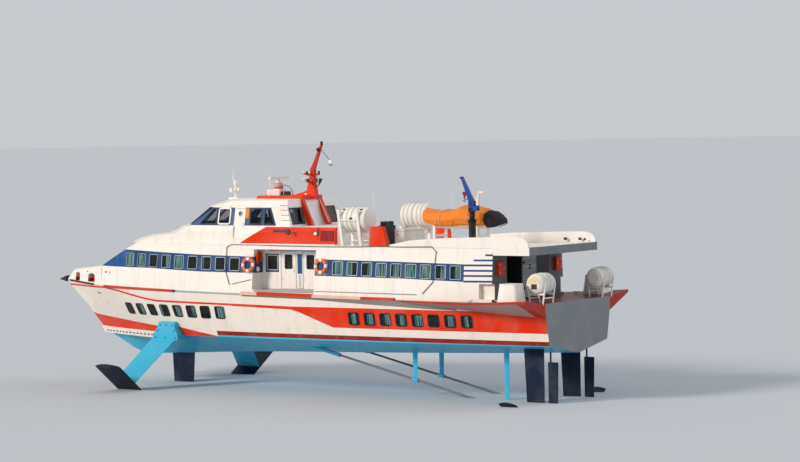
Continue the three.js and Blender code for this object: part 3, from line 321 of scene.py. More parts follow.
def house_scheme(tree, shade, axes):
    """Blue band and lines, white porch with blue panels, trodden sill, and grey painted shade"""
    x, z = axes[0], axes[2]
    band = stripe(tree, z, sheer(tree, x, BAND_FOOT), sheer(tree, x, BAND_HEAD))
    # painted light: the raked front takes a lighter blue than the band, as where it faces the light
    for start, colour in ((BAND_END, BLUE), (FRONT_START, LIT_FRONT_BLUE)):
        shade = coat(tree, shade, overlap(tree, band, stripe(tree, x, start, FAR)), colour)
    reach = add(tree, "Math", {0: axes[1]}, operation="ABSOLUTE").outputs[0]
    recess = overlap(tree, stripe(tree, reach, 0.0, 2.40), stripe(tree, x, -2.95, 0.79))
    shade = coat(tree, shade, recess, WHITE)
    for aft_edge, fore_edge, foot in PORCH_PANELS:
        panel = overlap(tree, recess, stripe(tree, x, aft_edge, fore_edge), stripe(tree, z, foot, PANEL_HEAD))
        shade = coat(tree, shade, panel, BLUE)
    # the edge of the porch floor is trodden to grey
    sill = overlap(tree, stripe(tree, x, -2.9, 0.72), stripe(tree, z, 4.93, 5.05))
    shade = coat(tree, shade, sill, TRODDEN)
    # painted shade: the lobby behind the door leaves is dark through their windows
    behind = overlap(tree, stripe(tree, reach, 0.0, 2.345), stripe(tree, x, -2.54, -0.35))
    shade = coat(tree, shade, behind, SHADE_BEHIND_GLASS)
    forward, abeam, _ = facing_of(tree)
    abeam = add(tree, "Math", {0: abeam}, operation="ABSOLUTE").outputs[0]
    sides = overlap(tree, stripe(tree, abeam, 0.6, FAR), stripe(tree, reach, 2.4, FAR))
    level = add(tree, "Math", {0: x, 1: LINE_SLOPE, 2: z}, operation="MULTIPLY_ADD").outputs[0]
    for start, foot in AFT_LINES:
        line = stripe(tree, level, foot, foot + LINE_WIDE)
        shade = coat(tree, shade, overlap(tree, sides, line, stripe(tree, x, -13.1, start)), BLUE)
    # painted shade: the after wall and the lobby under the canopy are dark greys
    aft_wall = overlap(tree, stripe(tree, forward, -FAR, -0.6), stripe(tree, x, -13.2, -12.9))
    shade = coat(tree, shade, aft_wall, AFT_SHADE)
    lobby = overlap(tree, stripe(tree, reach, 0.0, 1.9), stripe(tree, x, -13.2, -12.0),
                    stripe(tree, z, 4.0, 6.95))
    return coat(tree, shade, lobby, LOBBY_SHADE)


def wings_scheme(tree, shade, axes):
    """Painted shade: the canopy's underside and its after fascia are grey"""
    forward, _, upward = facing_of(tree)
    fascia = overlap(tree, stripe(tree, forward, -FAR, -0.7), stripe(tree, axes[2], 6.8, 7.275))
    return coat(tree, shade, either(tree, fascia, stripe(tree, upward, -FAR, -0.7)), UNDERSIDE_SHADE)


def foredeck_scheme(tree, shade, axes):
    """The mooring niches are red up to 0.17 m over their floors"""
    niches = either(tree, stripe(tree, axes[0], 13.855, 14.385), stripe(tree, axes[0], 12.165, 12.875))
    return coat(tree, shade, overlap(tree, niches, stripe(tree, axes[2], 5.105, 5.28)), "B8401F")


house_sides = enamel("saloon_enamel", WHITE, "house_paint", plate=3, scheme=house_scheme)
saloon = smoothed("saloon_house", house_sides, 22)
white = enamel("white_enamel", WHITE, "house_paint", plate=2)
red = enamel("red_enamel", RED, "red_paint")
smoothed("wheelhouse_roof", white)
smoothed("roof_wings", enamel("wings_enamel", WHITE, "house_paint", plate=2, scheme=wings_scheme))
smoothed("foredeck", enamel("foredeck_enamel", WHITE, "house_paint", scheme=foredeck_scheme))


# Windows of both saloons: toughened glass bedded in cast alloy frames above the deck and in rubber
# below it, with teal curtains drawn across most of them on the inside.
def skin_of(*meshes):
    """The surfaces of some meshes together, to set fittings on"""
    points, faces = [], []
    for mesh in meshes:
        first = len(points)
        points += [v.co.copy() for v in mesh.vertices]
        faces += [[first + i for i in p.vertices] for p in mesh.polygons]
    return BVHTree.FromPolygons(points, faces)


# a point abreast of everything on the port side, and the way inboard
ABREAST, INBOARD = 9.0, Vector((0, -1, 0))


def seat_on(wall, x, z):
    """A fitting's seat to port: its axes, X aft, Y up the wall and Z out, its spot and the way out"""
    spot, out, _, _ = wall.ray_cast(Vector((x, ABREAST, z)), INBOARD)
    along = Vector((0, 0, 1)).cross(out).normalized()
    return Matrix((along, out.cross(along), out)).transposed().to_4x4(), spot, out


def stamp(body, fitting, axes, spot):
    """Adds a fitting to a body at its seat"""
    mesh = bpy.data.meshes.new("fitting")
    fitting.to_mesh(mesh)
    fitting.free()
    mesh.transform(Matrix.Translation(spot) @ axes)
    body.from_mesh(mesh)
    bpy.data.meshes.remove(mesh)


def raised(body, faces, step):
    """Extrudes faces by a step"""
    made = bmesh.ops.extrude_face_region(body, geom=faces)["geom"]
    bmesh.ops.translate(body, vec=step, verts=[v for v in made if isinstance(v, bmesh.types.BMVert)])


def pane(width, height, corner, thick, opening=0.0):
    """A plate with rounded corners, its back on Z = 0, or a frame of a width round an opening"""
    made = bmesh.new()
    bmesh.ops.create_grid(made, x_segments=1, y_segments=1, size=0.5)
    bmesh.ops.scale(made, vec=(width, height, 1), verts=made.verts)
    bmesh.ops.bevel(made, geom=made.verts[:], offset=corner, segments=4, profile=0.5, affect="VERTICES",
                    material=-1)
    if opening:
        bmesh.ops.inset_region(made, faces=made.faces[:], thickness=opening, use_even_offset=True,
                               use_boundary=True)
        made.faces.ensure_lookup_table()
        inner = max(made.faces, key=lambda f: len(f.verts))
        bmesh.ops.delete(made, geom=[inner], context="FACES_ONLY")
    raised(made, made.faces[:], (0, 0, thick))
    bmesh.ops.recalc_face_normals(made, faces=made.faces[:])
    return made


def drape(width, height, folds, deep):
    """A curtain that hangs in even folds"""
    made = bmesh.new()
    bmesh.ops.create_grid(made, x_segments=folds * 8, y_segments=6, size=0.5)
    for vert in made.verts:
        swing = math.sin((vert.co.x + 0.5) * folds * 2 * math.pi + vert.co.y * 0.7)
        vert.co.z = deep * (0.5 + 0.5 * swing)
    bmesh.ops.scale(made, vec=(width, height, 1), verts=made.verts)
    return made


def show(name, body, skin, rides="ship", both=False, sharp=35, bevel=0.0, loose=False):
    """A finished piece from its bmesh, mirrored to starboard where both sides have one.
    A loose cloth keeps its faces as they point."""
    if both:
        bmesh.ops.mirror(body, geom=body.verts[:] + body.edges[:] + body.faces[:], axis="Y", merge_dist=-1)
    if not loose:
        bmesh.ops.recalc_face_normals(body, faces=body.faces[:])
    mesh = bpy.data.meshes.new(name)
    body.to_mesh(mesh)
    body.free()
    mesh.shade_smooth()
    mesh.set_sharp_from_angle(angle=math.radians(sharp))
    mesh.materials.clear()
    mesh.materials.append(skin)
    piece = bpy.data.objects.new(name, mesh)
    bpy.context.scene.collection.objects.link(piece)
    if bevel:
        edge = piece.modifiers.new("edge", "BEVEL")
        edge.width, edge.segments, edge.limit_method = bevel, 2, "ANGLE"
    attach(piece, rides)
    return piece


DUST = "9A938A"


def plain(name, colour, slot=None, rough=0.5, metallic=0.0, grain=0.0, scale=60.0, worn=0.16):
    """A simple finish: one colour, grain in mm of height at a scale per metre, and dust where it is worn"""
    skin = bpy.data.materials.new(name)
    skin.use_nodes = True
    tree = skin.node_tree
    shader = tree.nodes["Principled BSDF"]
    place = add(tree, "TexCoord").outputs["Object"]
    cloud = add(tree, "TexNoise", {"Vector": place, "Scale": scale / 12, "Detail": 4.0}).outputs[0]
    mottle = add(tree, "MapRange", {0: cloud, 1: 0.4, 2: 0.75, 3: 0.0, 4: worn}).outputs[0]
    shade = add(tree, "RGB").outputs[0]
    shade.default_value = srgb(colour)
    tree.links.new(coat(tree, shade, mottle, DUST), shader.inputs["Base Color"])
    gloss = add(tree, "MapRange", {0: cloud, 1: 0.3, 2: 0.7, 3: rough - 0.04, 4: rough + 0.1}).outputs[0]
    tree.links.new(gloss, shader.inputs["Roughness"])
    shader.inputs["Metallic"].default_value = metallic
    if grain:
        fine = add(tree, "TexNoise", {"Vector": place, "Scale": scale, "Detail": 3.0}).outputs[0]
        height = add(tree, "Math", {0: fine, 1: grain / 1000}, operation="MULTIPLY").outputs[0]
        bump = add(tree, "Bump", {"Strength": 1.0, "Distance": 1.0, "Height": height})
        tree.links.new(bump.outputs[0], shader.inputs["Normal"])
    if slot:
        skin["slot"] = slot
    return skin


# sand-cast alloy: a dull sheen and a fine pitted skin
alloy = plain("cast_alloy", "B4BABA", "house_paint", rough=0.42, metallic=0.6, grain=0.3)
# moulded rubber: near black with a broad, weak highlight
gasket = plain("black_rubber", "191A1C", "fender_rubber", rough=0.65, grain=0.4)
# the unlit saloon behind the glass
dark_room = plain("cabin_shade", "15191C", rough=0.7, worn=0.02)
# woven curtain cloth: matt, its threads drawn at 2.5 mm where the real ones are under 1 mm
cloth = plain("teal_curtain", "B6F4EE", rough=0.85, grain=0.8, scale=400.0)
# the folds hang a hand's width apart; the hollows between them carry painted shade, darker than the crowns
FOLDS_PER_METRE, HOLLOW_SHADE = (13.0, 0.0, 0.5), "357178"
weave = cloth.node_tree
drawn = add(weave, "Mapping", {0: add(weave, "TexCoord").outputs["Object"], 3: FOLDS_PER_METRE}).outputs[0]
fold = add(weave, "TexNoise", {"Vector": drawn, "Scale": 1.0, "Detail": 2.0}).outputs[0]
fold_shade = add(weave, "MapRange", {0: fold, 1: 0.42, 2: 0.57, 3: 0.0, 4: 0.95}).outputs[0]
dyed = weave.nodes["Principled BSDF"].inputs["Base Color"]
weave.links.new(coat(weave, dyed.links[0].from_socket, fold_shade, HOLLOW_SHADE), dyed)
# toughened glass, tinted: what is behind it shows darkened
glass = bpy.data.materials.new("tinted_glass")
glass.use_nodes = True
for socket, value in (("Base Color", srgb("0C1A1E")), ("Roughness", 0.04), ("Alpha", 0.24), ("IOR", 1.5)):
    glass.node_tree.nodes["Principled BSDF"].inputs[socket].default_value = value

WINDOW, CURTAIN = 0.60, 0.54
FOLD_PITCH = 0.11
ROWS = (
    # deck, first window's x and z, pitch along and rise, height, then each window's curtain: none, or its
    # left and right edge as shares of the pane seen from outside
    ("upper", 9.07, 6.36, -0.889, -0.0135, 0.64,
     [(0, 1), (.15, 1), None, (.5, 1), (0, 1), None, (0, .2), None, None]),
    ("upper", -4.24, 6.15, -0.841, -0.0125, 0.64,
     [(.1, 1), (0, .55), (.6, 1), (0, 1), (.2, .9), (0, 1), (.1, 1), (.5, 1), (.45, 1)]),
    ("lower", 9.47, 3.86, -0.944, 0.0, 0.62,
     [None, (.5, 1), None, (0, .2), (.35, 1), (.6, 1), None, (.25, 1)]),
    ("lower", -5.19, 3.77, -0.898, 0.0, 0.60,
     [(.3, .75), (.3, .9), (.45, 1), (.4, .85), (.3, 1), None, (.3, .9), (.3, .7)]),
)
frames, gaskets, panes, rooms, curtains = (bmesh.new() for _ in range(5))
BEDDING = {
    # deck: its wall, what holds the glass, and that ring's lap on the wall, corner, thickness and width
    "upper": (skin_of(saloon.data), frames, 0.02, 0.07, 0.034, 0.031),
    "lower": (skin_of(hull.data), gaskets, 0.03, 0.11, 0.028, 0.030),
}
for deck, x, z, pitch, rise, tall, drawn in ROWS:
    wall, rings, lap, corner, thick, wide = BEDDING[deck]
    for k, curtain in enumerate(drawn):
        axes, spot, out = seat_on(wall, x + pitch * k, z + rise * k)
        stamp(rings, pane(WINDOW + lap, tall + lap, corner, thick, wide), axes, spot - out * 0.006)
        stamp(rooms, pane(WINDOW - 0.03, tall - 0.03, 0.06, 0.006), axes, spot - out * 0.003)
        stamp(panes, pane(WINDOW - 0.04, tall - 0.04, 0.06, 0.004), axes, spot + out * 0.020)
        if curtain:
            left, right_edge = curtain
            breadth = CURTAIN * (right_edge - left)
            across = axes.col[0].to_3d() * (CURTAIN * ((left + right_edge) / 2 - 0.5))
            hung = drape(breadth, tall - 0.09, max(2, round(breadth / FOLD_PITCH)), 0.012)
            stamp(curtains, hung, axes, spot + across + out * 0.006)
show("window_frames", frames, alloy, both=True, bevel=0.006)
show("window_gaskets", gaskets, gasket, both=True)
show("window_rooms", rooms, dark_room, both=True)
show("window_glass", panes, glass, both=True)
cloth_area = 2 * sum(face.calc_area() for face in curtains.faces)
hangings = show("window_curtains", curtains, cloth, both=True, sharp=180, loose=True)


# Wheelhouse: white alloy with blue window surrounds, tinted panes in rubber, and an orange-red casing
# beneath that rakes forward under the aft windows.
SILL, HEAD = 8.19, 8.95


def wheelhouse_scheme(tree, shade, axes):
    """Blue surrounds of the windows"""
    x, z = axes[0], axes[2]
    belt = stripe(tree, z, SILL - 0.075, HEAD + 0.045)
    # the aft window pair's surround leans with the last mullion
    leaning = add(tree, "Math", {0: z, 1: -0.44, 2: x}, operation="MULTIPLY_ADD").outputs[0]
    after_pair = overlap(tree, stripe(tree, x, -FAR, 1.99), stripe(tree, leaning, -3.50, FAR))
    sides = either(tree, stripe(tree, x, 2.64, FAR), after_pair)
    front = stripe(tree, facing_of(tree)[0], 0.30, FAR)
    return coat(tree, shade, overlap(tree, belt, either(tree, sides, front)), BLUE)


def casing_scheme(tree, shade, axes):
    """The orange-red wedge on the casing's sides"""
    x, z = axes[0], axes[2]
    reach = add(tree, "Math", {0: axes[1]}, operation="ABSOLUTE").outputs[0]
    # the wedge's front edge rises aft from the roof to the top of the casing
    rake = add(tree, "Math", {0: z, 1: 2.0, 2: x}, operation="MULTIPLY_ADD").outputs[0]
    wedge = overlap(tree, stripe(tree, rake, -FAR, 16.72), stripe(tree, reach, 2.2, FAR),
                    stripe(tree, z, 7.25, 8.07))
    return coat(tree, shade, wedge, RED)


bridge = smoothed("wheelhouse", enamel("wheelhouse_enamel", WHITE, "house_paint", scheme=wheelhouse_scheme))
smoothed("upper_casing", enamel("casing_enamel", WHITE, "house_paint", plate=2, scheme=casing_scheme))


def round_opening(wall, corners, toward, margin):
    """Points on a wall round an opening, each set out from its middle by a margin"""
    middle = sum((Vector(c) for c in corners), Vector()) / len(corners)
    found = []
    for corner in corners:
        start = Vector(corner) + (Vector(corner) - middle).normalized() * margin
        spot, _, _, _ = wall.ray_cast(start, toward)
        found.append(spot)
    return found


def plate(body, outline, thick, inner=None):
    """A flat plate on an outline, or a frame between two outlines, raised along its own normal"""
    normal = (outline[1] - outline[0]).cross(outline[2] - outline[1]).normalized()
    outer = [body.verts.new(p) for p in outline]
    if inner:
        hole = [body.verts.new(p) for p in inner]
        made = [body.faces.new((outer[i - 1], outer[i], hole[i], hole[i - 1])) for i in range(len(outer))]
    else:
        made = [body.faces.new(outer)]
    raised(body, made, normal * thick)


SIDE_PANES = (
    ((4.70, SILL), (3.72, SILL), (3.72, HEAD), (3.96, HEAD)),
    ((3.56, SILL), (2.91, SILL), (2.91, HEAD), (3.56, HEAD)),
    ((1.66, SILL), (1.01, SILL), (1.01, HEAD), (1.66, HEAD)),
    ((0.80, SILL), (0.20, SILL), (0.54, HEAD), (0.80, HEAD)),
)
SCREEN_PANES = ((0.06, 0.64), (0.74, 1.29), (1.40, 1.96))
SCREEN_SILL = SILL + 0.02
AFT_PANE = (0.90, 1.90)
# points ahead of the screen and abaft the after wall
AHEAD, ABAFT = 9.0, -3.0
# each opening by its corners, set off the wall, and the way to the wall
openings = [([(x, ABREAST, z) for x, z in corners], INBOARD) for corners in SIDE_PANES]
for a, b in SCREEN_PANES:
    corners = [(AHEAD, a, SCREEN_SILL), (AHEAD, b, SCREEN_SILL), (AHEAD, b, HEAD), (AHEAD, a, HEAD)]
    openings.append((corners, Vector((-1, 0, 0))))
a, b = AFT_PANE
openings.append(([(ABAFT, b, SILL), (ABAFT, a, SILL), (ABAFT, a, HEAD), (ABAFT, b, HEAD)], Vector((1, 0, 0))))
LAP, SEAL_WIDE = 0.045, 0.085
wall = skin_of(bridge.data)
panes, seals = bmesh.new(), bmesh.new()
for corners, toward in openings:
    outer = round_opening(wall, corners, toward, LAP)
    middle = sum(outer, Vector()) / 4
    inner = [middle + (p - middle) * (1 - SEAL_WIDE / (p - middle).length) for p in outer]
    normal = (outer[1] - outer[0]).cross(outer[2] - outer[1]).normalized()
    inward = normal if normal.dot(toward) > 0 else -normal
    plate(seals, [p - inward * 0.004 for p in outer], 0.012, [p - inward * 0.004 for p in inner])
    plate(panes, [p + inward * 0.03 for p in outer], 0.006)
show("wheelhouse_seals", seals, gasket, both=True)
show("wheelhouse_glass", panes, glass, both=True)
# the second side window has a white frame with rounded corners
casement = bmesh.new()
axes, _, out = seat_on(wall, 3.64, 8.57)
middle = sum(round_opening(wall, *openings[1], LAP), Vector()) / 4
stamp(casement, pane(0.77, 0.86, 0.13, 0.035, 0.075), axes, middle - out * 0.004)
show("wheelhouse_casements", casement, white, both=True, bevel=0.006)


# Side doors: leaves with a rounded window in rubber, hinges, grip and drip strip, in both entrances and
# the wheelhouse; the after door has a round port. All are screwed to their leaves and ride on them.
def slab(body, low, high):
    """A box between two corners"""
    low, high = Vector(low), Vector(high)
    made = bmesh.ops.create_cube(body, size=1.0)["verts"]
    bmesh.ops.scale(body, vec=high - low, verts=made)
    bmesh.ops.translate(body, vec=(low + high) / 2, verts=made)


def rod(body, start, end, radius, tip=None, sides=12):
    """A round bar from one point to another, with another radius at its end if one is given"""
    start, end = Vector(start), Vector(end)
    along = end - start
    place = Matrix.Translation((start + end) / 2) @ along.to_track_quat("Z", "Y").to_matrix().to_4x4()
    bmesh.ops.create_cone(body, cap_ends=True, segments=sides, radius1=radius,
                          radius2=radius if tip is None else tip, depth=along.length, matrix=place)


def ball(body, centre, radius, sides=16):
    """A ball, with half as many bands as sides"""
    bmesh.ops.create_uvsphere(body, u_segments=sides, v_segments=sides // 2, radius=radius,
                              matrix=Matrix.Translation(Vector(centre)))


def bent(body, points, radius, sides=10):
    """A bent bar through its points"""
    for start, end in zip(points, points[1:]):
        rod(body, start, end, radius, sides=sides)
    for point in points[1:-1]:
        ball(body, point, radius, sides)


def grip(body, foot, head, out, radius):
    """A hand grip of bent bar, held off its door between two ends"""
    foot, head, out = Vector(foot), Vector(head), Vector(out)
    slope = Vector((0, 0, 0.02))
    bent(body, [foot, foot + out + slope, head + out - slope, head], radius)


def spun(body, profile, centre, along=(0, 0, 1), sides=32):
    """A turned form from its radii and heights along an axis"""
    lathe = bmesh.new()
    line = [lathe.verts.new((r, 0, h)) for r, h in profile]
    edges = [lathe.edges.new(pair) for pair in zip(line, line[1:])]
    bmesh.ops.spin(lathe, geom=line + edges, axis=(0, 0, 1), cent=(0, 0, 0), steps=sides, angle=2 * math.pi,
                   use_merge=True)
    bmesh.ops.remove_doubles(lathe, verts=lathe.verts, dist=0.0001)
    stamp(body, lathe, Vector(along).to_track_quat("Z", "Y").to_matrix().to_4x4(), Vector(centre))


def flipped(body, side):
    """Turns a port piece into the starboard one where that is the side"""
    if side == "starboard":
        bmesh.ops.scale(body, vec=(1, -1, 1), verts=body.verts)
    return body


PORCH_BACK = 2.38
DOOR_FOOT, DOOR_HEAD = 5.06, 6.90
# each leaf by its after and fore edge
ENTRANCES = {"fore": (-1.21, -0.37), "aft": (-2.52, -1.68)}
LIGHT_Z = 6.375
HINGES = (5.45, 6.55)
# a fitting on a wall square to the beam has its X aft, its Y up and its Z to port
OUTWARD = Matrix(((-1, 0, 0), (0, 0, 1), (0, 1, 0))).to_4x4()
# the wheelhouse leaf leans with its wall, from this breadth at its foot
LEAN, LEAF_Y, LEAF_FOOT = 0.196, 2.243, 8.06
PORT_X, PORT_Z = 2.29, 8.70
GRIP_X, GRIP_Z = 2.07, 8.05
port_face = Vector((PORT_X, LEAF_Y - (PORT_Z - LEAF_FOOT) * LEAN, PORT_Z))
grip_y = LEAF_Y - (GRIP_Z - LEAF_FOOT) * LEAN
out = Vector((0, 1, LEAN)).normalized()
for side in ("port", "starboard"):
    for name, (aft_edge, fore_edge) in ENTRANCES.items():
        leaf = f"entrance_door_{name}_{side}"
        middle = (aft_edge + fore_edge) / 2
        seals, lights, fittings = bmesh.new(), bmesh.new(), bmesh.new()
        stamp(seals, pane(0.47, 0.70, 0.08, 0.012, 0.035), OUTWARD, Vector((middle, PORCH_BACK, LIGHT_Z)))
        stamp(lights, pane(0.45, 0.68, 0.07, 0.008), OUTWARD, Vector((middle, PORCH_BACK - 0.03, LIGHT_Z)))
        hinge_x, hinge_y = fore_edge - 0.03, PORCH_BACK + 0.004
        for height in HINGES:
            rod(fittings, (hinge_x, hinge_y, height), (hinge_x, hinge_y, height + 0.12), 0.012)
        grip_x = aft_edge + 0.09
        grip(fittings, (grip_x, PORCH_BACK, 5.95), (grip_x, PORCH_BACK, 6.19), (0, 0.05, 0), 0.010)
        slab(fittings, (grip_x - 0.03, PORCH_BACK - 0.002, 5.86), (grip_x + 0.03, PORCH_BACK + 0.008, 5.94))
        show(leaf + "_seal", flipped(seals, side), gasket, rides=leaf)
        show(leaf + "_glass", flipped(lights, side), glass, rides=leaf)
        show(leaf + "_fittings", flipped(fittings, side), alloy, rides=leaf)
    leaf = f"wheelhouse_door_{side}"
    ring, lights = bmesh.new(), bmesh.new()
    ring_profile = [(0.118, -0.02), (0.118, 0.016), (0.150, 0.016), (0.162, 0.004), (0.162, -0.004)]
    spun(ring, ring_profile, port_face, out)
    spun(lights, [(0.0, -0.02), (0.128, -0.02), (0.128, -0.026), (0.0, -0.026)], port_face, out)
    bent(ring, [(GRIP_X, grip_y, GRIP_Z), (GRIP_X, grip_y + 0.05, GRIP_Z + 0.01),
                (GRIP_X, grip_y + 0.02, GRIP_Z + 0.17), (GRIP_X, grip_y - 0.03, GRIP_Z + 0.18)], 0.010)
    show(leaf + "_ring", flipped(ring, side), alloy, rides=leaf)
    show(leaf + "_glass", flipped(lights, side), glass, rides=leaf)

AFT_LEAF_X = -13.064
AFT_PORT = (-0.02, 6.22)
after = bmesh.new()
spun(after, [(0.135, 0.03), (0.135, -0.018), (0.165, -0.018), (0.178, -0.004), (0.178, 0.004)],
     (AFT_LEAF_X, *AFT_PORT), (1, 0, 0))
for height in (5.05, 5.6, 6.2, 6.6):
    slab(after, (AFT_LEAF_X - 0.012, -0.60, height), (AFT_LEAF_X + 0.002, 0.58, height + 0.05))
grip(after, (AFT_LEAF_X, -0.50, 5.72), (AFT_LEAF_X, -0.50, 5.98), (-0.06, 0, 0), 0.011)
show("aft_door_fittings", after, alloy, rides="aft_door")
port = bmesh.new()
rod(port, (AFT_LEAF_X + 0.002, *AFT_PORT), (AFT_LEAF_X - 0.006, *AFT_PORT), 0.14, sides=32)
for height in (5.16, 6.36):
    slab(port, (AFT_LEAF_X - 0.02, 0.44, height), (AFT_LEAF_X + 0.002, 0.60, height + 0.12))
show("aft_door_port", port, gasket, rides="aft_door")


# Entrance porches: a fixed window, header with two orange deck lamps, fire box and dome lamp on the fore
# wall, frames of the doorways and a grip rail between them, all screwed to the white alloy.
amber_lens = plain("amber_lens", "FF7A1E", rough=0.2)
grey = enamel("fitting_grey", "A9AEB0", "grey_paint", rough=0.45)
frames, panes, rooms = (bmesh.new() for _ in range(3))
spot = Vector((0.17, PORCH_BACK, 6.33))
stamp(frames, pane(0.68, 0.76, 0.06, 0.03, 0.045), OUTWARD, spot)
stamp(rooms, pane(0.64, 0.72, 0.05, 0.004), OUTWARD, spot)
stamp(panes, pane(0.64, 0.72, 0.05, 0.004), OUTWARD, spot + Vector((0, 0.012, 0)))
show("porch_window_frames", frames, alloy, both=True, bevel=0.006)
show("porch_window_rooms", rooms, dark_room, both=True)
show("porch_window_glass", panes, glass, both=True)
header, fire, amber, dome, trim = (bmesh.new() for _ in range(5))
# painted shade: the header is grey for the shaded soffit over the porch
slab(header, (-2.70, PORCH_BACK, 6.905), (0.40, PORCH_BACK + 0.09, 6.985))
slab(header, (-1.62, PORCH_BACK, 5.08), (-1.30, PORCH_BACK + 0.012, 5.12))
for x in (-0.05, -2.55):
    slab(amber, (x - 0.10, PORCH_BACK + 0.08, 6.90), (x + 0.10, PORCH_BACK + 0.24, 6.99))
slab(fire, (0.70, 2.52, 6.38), (0.83, 2.74, 6.90))
rod(fire, (0.76, 2.86, 6.30), (0.76, 2.86, 6.74), 0.07, sides=20)
spun(dome, [(0.0, 0.10), (0.09, 0.06), (0.13, 0.0), (0.0, 0.0)], (0.82, 2.74, 6.02), (-1, 0, 0))
for aft_edge, fore_edge in ENTRANCES.values():
    slab(trim, (aft_edge - 0.05, PORCH_BACK, DOOR_HEAD + 0.005),
         (fore_edge + 0.05, PORCH_BACK + 0.045, DOOR_HEAD + 0.03))
    for x in (aft_edge - 0.045, fore_edge + 0.02):
        slab(trim, (x, PORCH_BACK, DOOR_FOOT), (x + 0.025, PORCH_BACK + 0.014, DOOR_HEAD))
grip(trim, (-1.46, PORCH_BACK, 5.20), (-1.46, PORCH_BACK, 5.74), (0, 0.07, 0), 0.014)
show("porch_headers", header, grey, both=True, bevel=0.004)
show("porch_fire_boxes", fire, red, both=True, bevel=0.006)
show("porch_amber_lamps", amber, amber_lens, both=True, bevel=0.015)
show("porch_dome_lamps", dome, white, both=True)
show("porch_trim", trim, alloy, both=True)


# Lifebuoys: hard orange foam rings of oval section, 0.75 m across, with four pale reflective bands that hold
# a grab line, hung on alloy brackets at each end of the porch.
BUOY_ROUND, BUOY_THICK, BUOY_PROUD = 0.29, 0.085, 0.065
BAND_TURN = 28.125


def torus(body, axes, spot, thick, first, turn):
    """Part of a ring of oval section round a fitting's Z, from one angle through a turn"""
    ring = bmesh.new()
    bmesh.ops.create_circle(ring, cap_ends=turn < 360, segments=16, radius=thick)
    bmesh.ops.scale(ring, vec=(1, 0.75, 1), verts=ring.verts)
    bmesh.ops.rotate(ring, matrix=Matrix.Rotation(math.radians(90), 3, "X"), verts=ring.verts)
    bmesh.ops.translate(ring, vec=(BUOY_ROUND, 0, 0), verts=ring.verts)
    bmesh.ops.rotate(ring, matrix=Matrix.Rotation(math.radians(first), 3, "Z"), verts=ring.verts)
    steps = round(64 * turn / 360)
    bmesh.ops.spin(ring, geom=ring.verts[:] + ring.edges[:] + ring.faces[:], axis=(0, 0, 1), steps=steps,
                   angle=math.radians(turn), use_merge=turn == 360)
    stamp(body, ring, axes, spot)


# moulded foam skin: satin, slightly grained
foam = plain("buoy_orange", "F0672A", rough=0.55, grain=0.3)
# glossy reflective tape
tape = plain("reflective_band", "F2EEE6", rough=0.3)
# laid rope: matt
rope_white = plain("grab_line", "DAD4C6", rough=0.9, grain=0.5, scale=300.0)
wall = skin_of(saloon.data)
buoys, tapes, lines, cleats = (bmesh.new() for _ in range(4))
for x, z in ((1.10, 6.23), (-3.27, 6.23)):
    axes, spot, out = seat_on(wall, x, z)
    centre = spot + out * BUOY_PROUD
    torus(buoys, axes, centre, BUOY_THICK, 0, 360)
    for quarter in range(4):
        torus(tapes, axes, centre, BUOY_THICK * 1.03, 90 * quarter - 11.25, BAND_TURN)
        # the grab line is made fast at the four bands and stands off a little between them
        points = []
        for k in range(9):
            angle = 2 * math.pi * (quarter / 4 + k / 32)
            reach = BUOY_ROUND + BUOY_THICK + 0.012 + 0.03 * math.sin(math.pi * k / 8)
            place = Vector((reach * math.cos(angle), reach * math.sin(angle), 0.0))
            points.append(Matrix.Translation(centre) @ axes @ place)
        bent(lines, points, 0.006, 8)
    slab(cleats, spot + Vector((-0.30, -0.02, -0.42)), spot + Vector((0.30, 0.05, -0.36)))
    slab(cleats, spot + Vector((-0.02, -0.02, 0.16)), spot + Vector((0.02, 0.04, 0.40)))
show("lifebuoys", buoys, foam, both=True, sharp=60)
show("lifebuoy_bands", tapes, tape, both=True)
show("lifebuoy_grab_lines", lines, rope_white, both=True, sharp=80)
show("lifebuoy_brackets", cleats, alloy, both=True, bevel=0.004)


# Rub rails, strakes and deck pipes: half-round rails and welded strakes along the deck edge in the colours of
# their lengths, and a thin fire main with drop pipes clipped along the house.
RAIL_PITCH, PIPE_PITCH = 0.3, 0.9
# a rail's rounded section: shares of its height and of what stands proud
SECTION = ((-0.5, 0.0), (-0.5, 0.4), (-0.28, 1.0), (0.28, 1.0), (0.5, 0.4), (0.5, 0.0))
ROOT = 0.02


def laid(surface, points, pitch=RAIL_PITCH):
    """Spots, ways out and cross directions along a line of x, z drawn on the port side of a surface"""
    line = []
    for start, end in zip(points, points[1:]):
        count = max(1, round(math.dist(start, end) / pitch))
        line += [Vector(start).lerp(Vector(end), k / count) for k in range(count)]
    line.append(Vector(points[-1]))
    seats = [surface.ray_cast(Vector((p.x, ABREAST, p.y)), INBOARD)[:2] for p in line]
    found = []
    for k, (spot, out) in enumerate(seats):
        ahead = seats[min(k + 1, len(seats) - 1)][0] - seats[max(k - 1, 0)][0]
        found.append((spot, out, out.cross(ahead).normalized()))
    return found


def swept(body, rings):
    """Closes the rings of points along a rail into its skin"""
    rings = [[body.verts.new(point) for point in ring] for ring in rings]
    for ring, ahead in zip(rings, rings[1:]):
        for k in range(len(ring)):
            body.faces.new((ring[k - 1], ring[k], ahead[k], ahead[k - 1]))
    body.faces.new(rings[0])
    body.faces.new(rings[-1])


def rail(body, surface, points, tall, proud):
    """A rounded rail laid along the port side, its root sunk in the surface"""
    swept(body, [[spot + across * (a * tall) + out * (b * (proud + ROOT) - ROOT) for a, b in SECTION]
                 for spot, out, across in laid(surface, points)])


